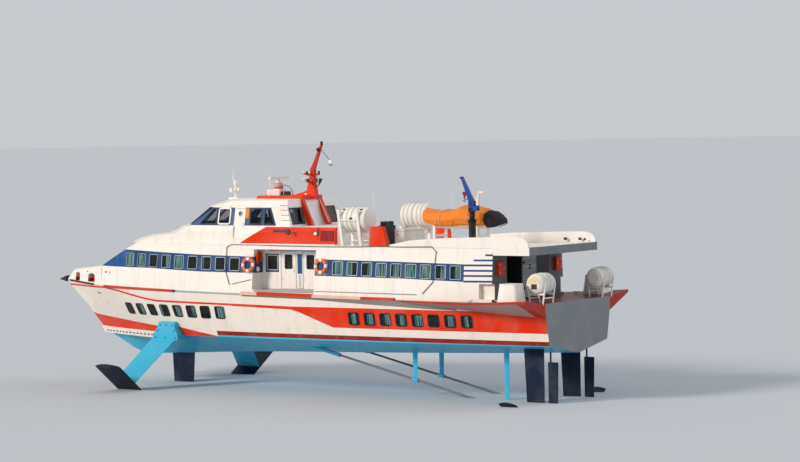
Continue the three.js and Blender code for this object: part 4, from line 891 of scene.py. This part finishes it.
def strake(body, surface, points, face, proud):
    """A strake on the deck edge: an upright face, or a thin one over an underside that slopes to the hull.
    Its points are x, the height of its foot and how far the underside drops."""
    rings = []
    for spot, out, across in laid(surface, [(x, z) for x, z, _ in points]):
        drop = next(d0 + (d1 - d0) * (x0 - spot.x) / (x0 - x1)
                    for (x0, _, d0), (x1, _, d1) in zip(points, points[1:]) if spot.x >= x1 - 0.05)
        section = ((face, -ROOT), (face, proud), (0.0, proud), (-drop, -ROOT))
        rings.append([spot + across * a + out * b for a, b in section])
    swept(body, rings)


deck_red = enamel("rail_red", "C9381C", "red_paint", rough=0.4)
worn_strake = enamel("worn_strake", "E6BFB0", "red_paint", rough=0.45)
# painted shade: the strakes' undersides that slope to the hull are grey
shaded = enamel("strake_underside_shade", "8A837D", "hull_paint", rough=0.5)
# extruded rubber strip: matt black
rubber = plain("strip_rubber", "1B1C1E", "fender_rubber", rough=0.75, grain=0.5)
# drawn steel pipe under thin grey paint
pipe_grey = plain("pipe_paint", "5B5F62", "dark_paint", rough=0.5, metallic=0.3)
SIDE_NODES = ("hull", "foredeck", "saloon_house", "roof_wings", "upper_casing", "wheelhouse",
              "wheelhouse_roof")
side = skin_of(*(frame["nodes"][node].data for node in SIDE_NODES))
RAILS = (
    # finish, height, proud, line of x, z
    (deck_red, 0.13, 0.055, [(11.2, 4.94), (8.5, 4.915), (5.83, 4.87)]),
    (rubber, 0.12, 0.060, [(5.81, 4.87), (5.66, 4.865)]),
    (grey, 0.09, 0.040, [(5.64, 4.865), (1.48, 4.80)]),
    (rubber, 0.085, 0.045, [(15.02, 5.08), (13.9, 5.05), (12.24, 5.00)]),
)
for k, (skin, tall, proud, points) in enumerate(RAILS):
    body = bmesh.new()
    rail(body, side, points, tall, proud)
    show(f"rub_rail_{k}", body, skin, both=True)
STRAKES = (
    # finish, height of the face, proud, points of x, foot and drop
    (worn_strake, 0.15, 0.085, [(1.45, 4.785, 0.01), (0.45, 4.772, 0.01)]),
    (deck_red, 0.165, 0.085, [(0.44, 4.772, 0.01), (-2.85, 4.735, 0.01)]),
    (worn_strake, 0.13, 0.085, [(-2.86, 4.735, 0.01), (-5.70, 4.70, 0.01)]),
    (deck_red, 0.13, 0.085, [(-5.71, 4.70, 0.01), (-7.60, 4.685, 0.01)]),
    (shaded, 0.01, 0.080, [(1.40, 4.772, 0.08), (-2.85, 4.722, 0.12), (-6.00, 4.685, 0.27),
                           (-7.60, 4.672, 0.33), (-9.40, 4.64, 0.40), (-11.0, 4.60, 0.40)]),
)
for k, (skin, face, proud, points) in enumerate(STRAKES):
    body = bmesh.new()
    strake(body, side, points, face, proud)
    show(f"deck_strake_{k}", body, skin, both=True)
PIPES = (
    # radius, line of x, z
    (0.017, [(2.485, 7.08), (2.22, 7.19), (-3.60, 7.165)]),
    (0.017, [(-3.60, 7.165), (-6.94, 7.19), (-9.60, 7.24), (-9.86, 7.0)]),
    (0.017, [(2.485, 7.08), (2.46, 5.87), (2.21, 5.27)]),
    (0.017, [(-9.86, 7.0), (-9.73, 5.60), (-9.17, 5.05)]),
    (0.012, [(2.05, 5.28), (0.90, 5.52)]),
    (0.012, [(-2.98, 5.03), (-8.80, 4.99)]),
)
pipes, clips = bmesh.new(), bmesh.new()
for radius, points in PIPES:
    seats = laid(side, points, PIPE_PITCH)
    bent(pipes, [spot + out * 0.035 for spot, out, _ in seats], radius, 8)
    for spot, out, _ in seats:
        rod(clips, spot - out * 0.01, spot + out * 0.036, radius * 1.5, sides=8)
show("deck_pipes", pipes, pipe_grey, both=True, sharp=80)
show("pipe_clips", clips, alloy, both=True)


# Small fittings on the sides, bolted on over sealant: gutters over the wheelhouse windows, louvres abaft
# them, the fire hose reel, lamp and dark red store hatch on the casing, fairlead plates at the bow, slots
# of the spray rail.
hatch_red = enamel("hatch_red", "8A0400", "red_paint", rough=0.4, stain=0.1)
amber_board = enamel("amber_board", "D88A2E", "house_paint", rough=0.45)
# black paint brushed on steel: satin
dark = plain("fitting_dark", "141517", "dark_paint", rough=0.5, grain=0.3)
FITTINGS = (
    # finish, x, z, width, height, corner, thick
    (hatch_red, -3.14, 7.66, 0.80, 0.50, 0.03, 0.020),
    (hatch_red, -3.14, 7.66, 0.70, 0.40, 0.03, 0.030),
    (dark, -0.78, 7.83, 0.27, 0.27, 0.13, 0.060),
    (dark, -0.28, 7.875, 0.80, 0.11, 0.03, 0.040),
    (dark, -1.12, 7.79, 0.20, 0.06, 0.02, 0.030),
    (dark, -1.25, 7.71, 0.07, 0.17, 0.02, 0.030),
    (dark, -2.58, 7.83, 0.08, 0.42, 0.03, 0.035),
    (white, -2.46, 7.76, 0.17, 0.14, 0.06, 0.070),
    (amber_board, 1.86, 8.71, 0.22, 0.50, 0.02, 0.030),
    (dark, 12.95, 5.62, 0.12, 0.05, 0.02, 0.012),
    (dark, 11.10, 5.66, 0.16, 0.07, 0.03, 0.014),
    (dark, 10.75, 5.64, 0.05, 0.10, 0.02, 0.014),
)
for k, (skin, x, z, width, height, corner, thick) in enumerate(FITTINGS):
    body = bmesh.new()
    axes, spot, out = seat_on(side, x, z)
    blunt = min(corner, 0.49 * width, 0.49 * height)
    stamp(body, pane(width, height, blunt, thick + 0.01), axes, spot - out * 0.01)
    show(f"side_fitting_{k}", body, skin, both=True, bevel=0.004)
LOUVRES = ((-0.13, 9.10), (-0.19, 8.88), (-0.25, 8.63), (-0.33, 8.38))
GUTTERS, GUTTER_Z = ((3.62, 2.88), (2.62, 1.86), (1.72, 0.95)), 9.09
SLOT_START, SLOT_PITCH, SLOT_Z = 12.35, 0.325, 2.54
louvres, gutters, slot_shade, marks = (bmesh.new() for _ in range(4))
for x, z in LOUVRES:
    for k in range(3):
        axes, spot, _ = seat_on(side, x - 0.16 * k, z)
        stamp(louvres, pane(0.14, 0.04, 0.01, 0.016), axes, spot)
for fore, aft in GUTTERS:
    rail(gutters, side, [(fore, GUTTER_Z), (aft, GUTTER_Z)], 0.026, 0.030)
spray = skin_of(frame["nodes"]["spray_rail_port"].data)
# painted shade: dark plates stand for the shade in the slots of the spray rail
for k in range(15):
    axes, spot, _ = seat_on(spray, SLOT_START - k * SLOT_PITCH, SLOT_Z)
    stamp(slot_shade, pane(0.19, 0.075, 0.035, 0.006), axes, spot)
for x in (12.1, 11.9):
    axes, spot, _ = seat_on(side, x, 4.55)
    stamp(marks, pane(0.14, 0.06, 0.02, 0.012), axes, spot)
show("wheelhouse_louvres", louvres, grey, both=True, bevel=0.003)
show("wheelhouse_gutters", gutters, white, both=True)
show("spray_rail_slot_shade", slot_shade, dark, both=True)
show("bow_marks", marks, dark, both=True)


# Arch and mast: hand rods up the legs, black masthead lanterns, wind sensor, radome plate, horn, side lamps
# and the white pole beside the mast; the radar's turret rings, cable and loudhailer; whip aerials.
def lantern(body, centre, radius, tall, crown=0.02, sides=32):
    """A round lamp or boss with a low crown"""
    spun(body, [(0.0, 0.0), (radius, 0.0), (radius, tall), (0.0, tall + crown)], centre, sides=sides)


def collar(body, centre, inner, outer, foot, head, along=(0, 0, 1), sides=32):
    """A flat band round a drum, post or canister, between two distances along its axis"""
    profile = [(inner, foot), (outer, foot), (outer, head), (inner, head), (inner, foot)]
    spun(body, profile, centre, along, sides)


# moulded plastic: black, half gloss
lantern_black = plain("lantern_black", "111315", "dark_paint", rough=0.35)
# clear and opal plastic, white from outside
lens_white = plain("lamp_lens", "F4F2EA", rough=0.15)
black_parts, white_parts, red_parts, lenses = (bmesh.new() for _ in range(4))
MAST_HEAD = (-1.187, 0, 12.10)
spun(black_parts, [(0.0, -0.08), (0.075, -0.08), (0.075, -0.04), (0.064, -0.03), (0.064, 0.06),
                   (0.078, 0.075), (0.06, 0.10), (0.0, 0.11)], MAST_HEAD)
lantern(black_parts, (-1.03, 0.11, 11.72), 0.07, 0.15)
bent(black_parts, [(-1.05, 0.0, 11.70), (-1.04, 0.11, 11.71)], 0.02)
bent(black_parts, [(-1.14, 0, 11.80), (-1.32, 0, 11.63), (-1.70, 0, 11.25)], 0.014)
slab(white_parts, (-1.79, -0.07, 11.12), (-1.64, 0.07, 11.28))
bent(black_parts, [(-1.70, -0.17, 11.06), (-1.72, -0.06, 11.02), (-1.72, 0.06, 11.02), (-1.70, 0.17, 11.06)],
     0.016)
rod(black_parts, (-1.72, 0, 11.02), (-1.72, 0, 11.13), 0.012)
spun(white_parts, [(0.0, -0.01), (0.16, 0.0), (0.17, 0.02), (0.10, 0.055), (0.0, 0.07)], (-0.14, 0, 10.34))
rod(white_parts, (-0.19, 0, 10.22), (-0.15, 0, 10.35), 0.02)
bent(black_parts, [(-0.74, 0.0, 9.98), (-0.92, 0.0, 10.0), (-1.02, 0, 10.12)], 0.028)
rod(black_parts, (-0.99, 0, 10.07), (-1.10, 0, 10.36), 0.035, 0.10, sides=20)
rod(white_parts, (-0.50, -0.52, 9.54), (-0.50, -0.52, 10.50), 0.028)
ball(white_parts, (-0.50, -0.52, 10.52), 0.045)
# side lanterns on the cross arms, and hand rods on the inner faces of the arch legs
LEG_FOOT, LEG_HEAD = Vector((-1.10, 0, 8.22)), Vector((-0.52, 0, 9.40))
for hand in (-1, 1):
    for x, z, reach in ((-0.63, 10.60, 0.50), (-0.59, 10.23, 0.36)):
        lantern(black_parts, (x, hand * reach, z), 0.055, 0.13, sides=16)
    leg = Vector((0, hand * 0.63, 0))
    bent(white_parts, [LEG_FOOT + leg, LEG_HEAD + leg], 0.020)
    for share in (0.0, 0.5, 1.0):
        x, _, z = LEG_FOOT.lerp(LEG_HEAD, share)
        rod(white_parts, (x, hand * 0.62, z), (x + 0.05, hand * 0.67, z), 0.012)
ball(lenses, (-0.10, 0, 10.68), 0.055)
rod(red_parts, (-0.10, 0, 10.60), (-0.10, 0, 10.65), 0.05)
lantern(red_parts, (-0.24, 0, 10.26), 0.05, 0.10, 0.03)
ball(lenses, (-0.55, 0.16, 10.66), 0.05)
ball(lenses, (-0.62, 0.62, 9.62), 0.055)
# radar turret: red and dark rings round the white drum, loudhailer, junction box and cable
TURRET = (1.48, 0, 0)
for body, foot, head, radius in ((red_parts, 9.88, 9.955, 0.246), (black_parts, 9.965, 9.985, 0.246),
                                 (red_parts, 10.03, 10.085, 0.246), (black_parts, 10.13, 10.15, 0.212)):
    collar(body, TURRET, radius - 0.02, radius, foot, head)
rod(black_parts, (2.02, 0.05, 9.69), (2.11, 0.05, 9.69), 0.06, 0.11, sides=20)
slab(black_parts, (0.90, -0.22, 9.552), (1.24, 0.12, 9.74))
bent(black_parts, [(1.26, 0, 9.98), (1.08, 0, 10.04), (0.86, 0, 9.99), (0.68, 0, 9.83), (0.60, 0, 9.56)],
     0.016)
rod(white_parts, (1.05, 0.18, 9.55), (1.05, 0.18, 10.05), 0.014)
bent(white_parts, [(1.05, 0.18, 10.04), (0.86, 0.18, 10.22)], 0.018)
show("mast_black_fittings", black_parts, lantern_black, sharp=50)
show("mast_white_fittings", white_parts, white, sharp=50)
show("mast_red_fittings", red_parts, red, sharp=50)
show("mast_lenses", lenses, lens_white, sharp=60)
caps = bmesh.new()
for y in (-0.70, 0.70):
    slab(caps, (1.396, y - 0.03, 10.352), (1.564, y + 0.03, 10.472))
show("radar_end_caps", caps, grey, rides="radar_scanner", bevel=0.004)
WHIPS = (
    # x, y, foot, head
    (1.42, 0.805, 9.55, 10.80),
    (-5.68, 2.09, 7.93, 9.72),
    (-7.98, -1.20, 7.20, 9.63),
    (4.30, 0.0, 10.28, 10.95),
)
WHIP_FOOT = [(0.0, 0.0), (0.05, 0.0), (0.05, 0.06), (0.026, 0.09), (0.026, 0.26), (0.0, 0.28)]
whips, bases = bmesh.new(), bmesh.new()
for x, y, foot, head in WHIPS:
    rod(whips, (x, y, foot), (x, y, head), 0.022, 0.010, sides=8)
    spun(bases, WHIP_FOOT, (x, y, foot), sides=16)
show("whip_aerials", whips, lens_white, sharp=60)
show("whip_bases", bases, white)


# Liferafts: moulded canisters with webbing straps, joint seal and dark label plates left blank; the racks'
# stays are bare alloy pins.
def hoop(body, centre, along, radius, offset, wide, thick=0.010):
    """A strap or seal round a canister"""
    collar(body, centre, radius - 0.01, radius + thick, offset - wide / 2, offset + wide / 2, along, 56)


# woven polyester webbing: matt, its threads drawn at 2 mm where the real ones are 1 mm
webbing = plain("pale_webbing", "CFC8BC", rough=0.9, grain=0.8, scale=500.0)
ROOF_RAFT, STERN_RAFT = Vector((-5.10, 2.60, 8.50)), Vector((-15.33, 2.70, 5.61))
straps, seals, plates = bmesh.new(), bmesh.new(), bmesh.new()
for centre, along, radius, offsets in (
    (ROOF_RAFT, (1, 0, 0), 0.592, (-0.50, -0.28, 0.28, 0.50)),
    (STERN_RAFT, (0, 1, 0), 0.472, (-0.36, -0.18, 0.18, 0.36)),
):
    for offset in offsets:
        hoop(straps, centre, along, radius, offset, 0.045)
    hoop(seals, centre, along, radius + 0.024, 0.0, 0.016, 0.004)
PLATES = [
    # canister, the plate's two corners from its middle
    (STERN_RAFT, (-0.16, 0.645, -0.24), (0.14, 0.662, 0.0)),
    (ROOF_RAFT, (-0.06, 0.588, -0.03), (0.06, 0.632, 0.09)),
    (ROOF_RAFT, (-0.52, 0.36, 0.44), (-0.45, 0.46, 0.50)),
    (ROOF_RAFT, (0.48, 0.36, 0.44), (0.55, 0.46, 0.50)),
]
for centre, low, high in PLATES:
    slab(plates, centre + Vector(low), centre + Vector(high))
show("raft_straps", straps, webbing, both=True, sharp=60)
show("raft_seals", seals, gasket, both=True, sharp=60)
show("raft_plates", plates, dark, both=True)


# Rescue boat: white moulded hull under an orange canvas cover that sags over its frames, laced at a dark
# seam, and a black canvas hood over its pointed stern whose black is partly painted shade.
BOAT_Y = 0.62
# the boat's middle by its points x, z
BOAT_MID = [(-12.3, 8.33), (-12.18, 8.34), (-11.7, 8.405), (-10.9, 8.48), (-10.1, 8.535), (-9.4, 8.42),
            (-8.5, 8.415), (-7.8, 8.535), (-7.5, 8.63)]
BOW_TIP, STERN_TIP = (-7.53, BOAT_Y, 8.63), (-12.27, BOAT_Y, 8.33)
SEAM, HOOD_EDGE = -11.50, -11.36
boat_skin = skin_of(frame["nodes"]["rescue_boat"].data)


def boat_middle(x):
    """The middle of the boat at a place along it"""
    z = BOAT_MID[-1][1]
    for (x0, z0), (x1, z1) in zip(BOAT_MID, BOAT_MID[1:]):
        if x <= x1:
            z = z0 + (z1 - z0) * (x - x0) / (x1 - x0)
            break
    return Vector((x, BOAT_Y, z))


def around(x, degrees):
    """A spot on the boat's skin at an angle round its middle, the way out to it, and that angle"""
    angle = math.radians(degrees)
    out = Vector((0, math.cos(angle), math.sin(angle)))
    return boat_skin.ray_cast(boat_middle(x), out)[0], out, angle


def canvas(tip, start, end, first, last, proud, seed, deep, steps=110, turns=96):
    """Canvas along the boat and between two angles round it, with sags and folds of a depth. The end by the
    tip closes on it, the other is hemmed."""
    body = bmesh.new()
    rings = []
    by_tip, hem = sorted((start, end), key=lambda x: abs(tip[0] - x))
    for i in range(steps + 1):
        x = start + (end - start) * i / steps
        ring = []
        for j in range(turns + 1):
            spot, out, angle = around(x, first + (last - first) * j / turns)
            broad = noise.noise(Vector((x * 1.1, angle * 1.3, seed)))
            crease = 1 - abs(noise.noise(Vector((x * 2.6 + 0.8 * broad, angle * 2.0 + x * 0.9, seed + 7))))
            small = noise.noise(Vector((x * 9, angle * 6, seed + 3)))
            lift = proud + deep * (0.5 + 0.5 * broad) + deep * crease ** 4 + 0.005 * small
            # both edges and the hem are drawn down on the boat
            share = min(min(j, turns - j) / turns / 0.05, abs(x - hem) / 0.25, 1)
            laced = proud * 0.7
            ring.append(body.verts.new(spot + out * (laced + (lift - laced) * share)))
        rings.append(ring)
    for ring, ahead in zip(rings, rings[1:]):
        for j in range(turns):
            body.faces.new((ring[j], ring[j + 1], ahead[j + 1], ahead[j]))
    ring = rings[0] if by_tip == start else rings[-1]
    point = body.verts.new(tip)
    for j in range(turns):
        body.faces.new((ring[j], ring[j + 1], point))
    return body


def covering(name, body, skin):
    """Shows a canvas and sums its area, which nothing uses"""
    area = sum(face.calc_area() for face in body.faces)
    piece = show(name, body, skin, sharp=180)


# woven canvas, dyed: matt, its threads drawn at 3 mm where the real ones are 1 mm
orange_canvas = plain("orange_canvas", "F28418", rough=0.8, grain=0.7, scale=350.0)
# the hood's black is partly painted shade on the aft-facing stern
black_canvas = plain("black_canvas", "1A1416", rough=0.75, grain=0.7, scale=350.0, worn=0.06)
# glass fibre in a smooth, slightly chalked gelcoat
boat_shell = smoothed("rescue_boat", plain("boat_gelcoat", "EFE9DC", "cover_cloth", rough=0.4), 40)
cover = canvas(BOW_TIP, -7.62, SEAM, -32, 212, 0.012, 1.7, 0.042)
covering("boat_cover", cover, orange_canvas)
hood = canvas(STERN_TIP, HOOD_EDGE, -12.165, -50, 230, 0.068, 5.2, 0.02, steps=30)
covering("boat_hood", hood, black_canvas)
LASHINGS = (-8.95, -10.55)
lashings = bmesh.new()
for x in LASHINGS:
    points = []
    for j in range(31):
        spot, out, _ = around(x, -38 + 256 * j / 30)
        points.append(spot + out * 0.085)
    bent(lashings, points, 0.013, 8)
show("boat_lashings", lashings, webbing, sharp=80)


# Crane and floodlight: welded steel in blue, with dark knuckle bands and pin caps, a winch drum on the
# slewing head, a red hook block stowed by the jib, bolted feet, and the floodlight's glass.
CRANE_BLUE = "003C94"
CRANE_X, CRANE_Y, JIB_PIN_Z = -11.10, 1.85, 9.25
blue = enamel("crane_detail", CRANE_BLUE, "crane_paint")
drum, hook, clips, bands, bolts = (bmesh.new() for _ in range(5))
slab(drum, (-11.44, 1.72, 8.90), (-11.20, 1.755, 9.12))
slab(drum, (-11.44, 1.945, 8.90), (-11.20, 1.98, 9.12))
rod(drum, (-11.36, 1.74, 9.01), (-11.36, 1.96, 9.01), 0.075, sides=20)
show("crane_winch", drum, blue, rides="crane_slew", bevel=0.005)
collar(bands, (CRANE_X, CRANE_Y, 8.62), 0.125, 0.150, 0.0, 0.09)
for inner_y, outer_y in ((CRANE_Y - 0.119, CRANE_Y - 0.150), (CRANE_Y + 0.119, CRANE_Y + 0.150)):
    rod(bands, (CRANE_X, inner_y, JIB_PIN_Z), (CRANE_X, outer_y, JIB_PIN_Z), 0.075, sides=20)
show("crane_pin_caps", bands, dark, rides="crane_slew", sharp=50)
rod(clips, (-10.86, CRANE_Y, 9.62), (-10.68, CRANE_Y, 9.70), 0.022)
rod(clips, (-10.93, CRANE_Y, 9.42), (-10.72, CRANE_Y, 9.44), 0.018)
slab(clips, (-10.575, 1.735, 10.40), (-10.495, 1.965, 10.47))
rod(hook, (-10.69, 1.80, 9.70), (-10.69, 1.90, 9.70), 0.085, sides=24)
slab(hook, (-10.73, 1.82, 9.50), (-10.65, 1.88, 9.70))
HOOK = ((-10.69, 9.51), (-10.69, 9.44), (-10.74, 9.38), (-10.70, 9.32), (-10.63, 9.34), (-10.62, 9.40))
bent(hook, [(x, CRANE_Y, z) for x, z in HOOK], 0.018)
show("crane_hook_block", hook, enamel("hook_red", "8E1A14", "red_paint"), rides="crane_jib", sharp=50)
show("crane_hook_clips", clips, dark, rides="crane_jib", sharp=50)
BOLTS, BOLT_RING = 12, 0.245
for k in range(BOLTS):
    angle = 2 * math.pi * k / BOLTS
    spot = Vector((CRANE_X + BOLT_RING * math.cos(angle), CRANE_Y + BOLT_RING * math.sin(angle), 7.235))
    rod(bolts, spot, spot + Vector((0, 0, 0.035)), 0.020, sides=6)
for spot in ((-10.22, -0.43), (-9.94, -0.43), (-10.22, -0.15), (-9.94, -0.15)):
    rod(bolts, (*spot, 7.235), (*spot, 7.265), 0.018, sides=6)
show("post_foot_bolts", bolts, alloy)
lamp_face = bmesh.new()
slab(lamp_face, (-10.415, -0.385, 9.643), (-10.275, -0.195, 9.655))
show("floodlight_glass", lamp_face, lens_white, bevel=0.003)


# Roof gear: pressed louvres on the vent trunk's sides and two white lamps on its top, lid joints and
# latches of the grey lockers, all riveted or screwed on.
slats, lamps, latches = (bmesh.new() for _ in range(3))
# brushed stainless steel: bright, with a soft highlight
steel = plain("stainless_steel", "B9BCBD", "shaft_steel", rough=0.3, metallic=0.9)
for z in (7.45, 7.62, 7.79, 7.96):
    for y0, y1 in ((0.42, 0.78), (0.82, 1.18)):
        for x in (-5.762, -5.355):
            slab(slats, (x, y0, z), (x + 0.017, y1, z + 0.07))
for y in (0.62, 0.98):
    lantern(lamps, (-5.55, y, 8.31), 0.07, 0.08, 0.03, sides=20)
for y in (0.19, 0.80):
    slab(latches, (-6.408, y - 0.04, 7.70), (-6.395, y + 0.04, 7.78))
slab(slats, (-6.935, -0.402, 7.86), (-6.405, 1.402, 7.868))
slab(latches, (-6.60, 1.40, 7.66), (-6.52, 1.415, 7.76))
show("roof_dark_details", slats, dark)
show("roof_lamps", lamps, lens_white, sharp=50)
show("roof_latches", latches, steel, bevel=0.003)


# Stern deck: the tubs' rolled rims, latches of the red boxes on the after wall, twin-horn cleats along the
# deck edge, and lamps and small fittings under the canopy.
tub_rims, latches, cleats, domes, fittings = (bmesh.new() for _ in range(5))
TUB_X, TUB_Y, RIM_Z = -14.45, 3.88, 5.632
TUB_CORNER, HALF_LONG, HALF_WIDE = 0.18, 0.463, 0.403
rim = []
for k in range(32):
    angle = 2 * math.pi * (k + 0.5) / 32
    c, s = math.cos(angle), math.sin(angle)
    x = TUB_X + math.copysign(HALF_LONG - TUB_CORNER, c) + TUB_CORNER * c
    y = TUB_Y + math.copysign(HALF_WIDE - TUB_CORNER, s) + TUB_CORNER * s
    rim.append(Vector((x, y, RIM_Z)))
bent(tub_rims, rim + rim[:1], 0.014, 8)
slab(latches, (-13.172, 2.40, 6.20), (-13.158, 2.44, 6.30))
for z in (6.04, 6.42):
    slab(latches, (-13.170, 2.70, z), (-13.158, 2.78, z + 0.05))
CLEAT_Y = 3.55
HORNS = ((-0.16, 4.84), (-0.08, 4.825), (0.08, 4.825), (0.16, 4.84))
for x in (-12.0, -13.5):
    for post in (x - 0.05, x + 0.05):
        rod(cleats, (post, CLEAT_Y, 4.70), (post, CLEAT_Y, 4.82), 0.025, sides=10)
    bent(cleats, [(x + along, CLEAT_Y, z) for along, z in HORNS], 0.020, 10)
DOME = [(0.0, 0.0), (0.10, 0.0), (0.10, 0.02), (0.06, 0.06), (0.0, 0.07)]
for x, y in ((-13.6, 0.9), (-14.4, 0.9), (-13.9, 2.2)):
    spun(domes, DOME, (x, y, 6.882), (0, 0, -1), 24)
for x in (-13.35, -14.15):
    slab(fittings, (x - 0.05, 2.80, 7.34), (x + 0.05, 2.93, 7.46))
rod(fittings, (TUB_X, 2.86, 7.36), (TUB_X, 2.80, 7.42), 0.045, sides=14)
show("tub_rims", tub_rims, white, both=True, sharp=80)
show("stern_latches", latches, steel, both=True)
show("stern_cleats", cleats, steel, both=True, sharp=60)
show("canopy_lamps", domes, lens_white, both=True)
show("canopy_fittings", fittings, dark, both=True)


# Bow struts: welded steel plates bolted up to lugs under the hull, so each shows rows of hexagon heads
# round its top plate.
BOLT_HEADS = ((6.88, 3.12), (6.50, 3.12), (6.10, 3.12), (7.15, 2.50), (6.50, 2.50), (5.88, 2.50),
              (7.02, 2.84), (5.98, 2.84))
joints = bmesh.new()
strut = skin_of(frame["nodes"]["bow_strut_port"].data)
for x, z in BOLT_HEADS:
    _, spot, out = seat_on(strut, x, z)
    rod(joints, spot - out * 0.01, spot + out * 0.022, 0.035, sides=6)
show("strut_bolts", joints, dark, both=True)


# Wheelhouse inside: instrument panels, wheel and levers on the console and armrests on the seats, all
# moulded in black plastic and screwed down.
HUB = Vector((2.86, 0.56, 8.06))
RIM_ROUND = 0.17


def on_rim(angle):
    """A spot on the rim of the helm's wheel"""
    return HUB + Vector((0, math.cos(angle), math.sin(angle))) * RIM_ROUND


screens, wheel, arms = (bmesh.new() for _ in range(3))
for y in (-1.05, -0.55, 0.0, 0.55, 1.05):
    slab(screens, (3.02, y - 0.19, 8.20), (3.16, y + 0.19, 8.42))
rod(wheel, (2.95, 0.56, 8.02), HUB, 0.03)
for k in range(24):
    start, end = (2 * math.pi * n / 24 for n in (k, k + 1))
    rod(wheel, on_rim(start), on_rim(end), 0.014, sides=8)
for angle in (0.5, 2.6, 4.7):
    rod(wheel, HUB + Vector((0.01, 0, 0)), on_rim(angle), 0.010, sides=8)
for y in (-0.12, 0.0):
    rod(wheel, (3.06, y, 8.18), (2.99, y, 8.33), 0.012, sides=8)
    ball(wheel, (2.99, y, 8.34), 0.025)
for seat_y in (-0.56, 0.56):
    for y in (seat_y - 0.27, seat_y + 0.27):
        slab(arms, (2.10, y - 0.03, 8.20), (2.46, y + 0.03, 8.24))
        rod(arms, (2.16, y, 8.0), (2.16, y, 8.21), 0.014, sides=8)
show("console_screens", screens, lantern_black, bevel=0.006)
show("helm_wheel", wheel, lantern_black, sharp=60)
show("seat_arms", arms, lantern_black, bevel=0.006)


# The other bodies keep their CAD form under paint, alloy, bronze or moulded glass fibre: foils and struts,
# guards, mast, rafts, lockers, crane, doors, shafts, propellers and the rest of the deck gear.
def guard_scheme(tree, shade, axes):
    """Painted shade beneath, grey for the cream, with a red strake along the deck edge and a red after end"""
    upward = facing_of(tree)[2]
    under = overlap(tree, stripe(tree, upward, -FAR, -0.2), stripe(tree, axes[0], -15.2, 0.0))
    return coat(tree, coat(tree, shade, under, "A29B95"), stripe(tree, upward, 0.9, FAR), DECK_RED)


def raft_scheme(tree, shade, axes):
    """The upper half of the port end is cream"""
    end = overlap(tree, stripe(tree, axes[1], 3.30, 3.42), stripe(tree, axes[2], 5.62, 6.2))
    return coat(tree, shade, end, "E6D8AE")


def slew_scheme(tree, shade, axes):
    """Painted shade: the slewing head is near black up to the jib's knuckle"""
    return coat(tree, shade, stripe(tree, axes[2], 8.0, 9.02), "1A1C20")


SKINS = {
    "house_paint": white,
    "hull_paint": enamel("rail_enamel", CREAM, "hull_paint"),
    "red_paint": red,
    "foil_paint": enamel("foil_enamel", "031A34", "foil_paint", rough=0.5, stain=0.05),
    "strut_paint": enamel("strut_enamel", CYAN, "strut_paint", rough=0.4),
    "crane_paint": enamel("crane_enamel", CRANE_BLUE, "crane_paint", stain=0.1),
    "dark_paint": enamel("dark_enamel", "22252A", "dark_paint", rough=0.5),
    "grey_paint": enamel("grey_enamel", "9EA3A6", "grey_paint", rough=0.45),
    "canister_grp": enamel("canister_gelcoat", "EDEAE2", "canister_grp", rough=0.42),
    # turned steel dulled by the sea, and cast bronze, polished
    "shaft_steel": plain("shaft_steel", "5E6468", "shaft_steel", rough=0.4, metallic=0.8),
    "propeller_bronze": plain("propeller_bronze", "B08A4A", "propeller_bronze", rough=0.32, metallic=0.9,
                              grain=0.2),
    # moulded rubber, and vinyl grained like leather
    "fender_rubber": plain("fender_rubber", "1B1C1E", "fender_rubber", rough=0.8, grain=0.6),
    "seat_vinyl": plain("seat_vinyl", "23262B", "seat_vinyl", rough=0.6, grain=0.4, scale=300.0),
}
# the guard's red is darker than the hull's red: painted shade
guard = enamel("guard_enamel", "B02410", "red_paint", scheme=guard_scheme)
OWN_SKINS = {
    "stern_guard_port": guard,
    "stern_guard_starboard": guard,
    "crane_slew": enamel("slew_enamel", CRANE_BLUE, "crane_paint", stain=0.1, scheme=slew_scheme),
    "signal_mast": enamel("mast_enamel", "C82404", "red_paint"),
    "mast_arch": enamel("arch_enamel", "E83A0C", "red_paint"),
    "roof_lockers": enamel("locker_enamel", "DEDBD5", "grey_paint"),
    "stern_raft_port": enamel("stern_raft_gelcoat", "EDEAE2", "canister_grp", rough=0.42, scheme=raft_scheme),
}
shown = {"hull", "saloon_house", "foredeck", "roof_wings", "wheelhouse_roof", "wheelhouse", "upper_casing",
         "rescue_boat"}
for part in frame["record"]["subparts"]:
    if part["node"] not in shown:
        smoothed(part["node"], OWN_SKINS.get(part["node"]) or SKINS[part["material_slot"]])

low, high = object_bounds()
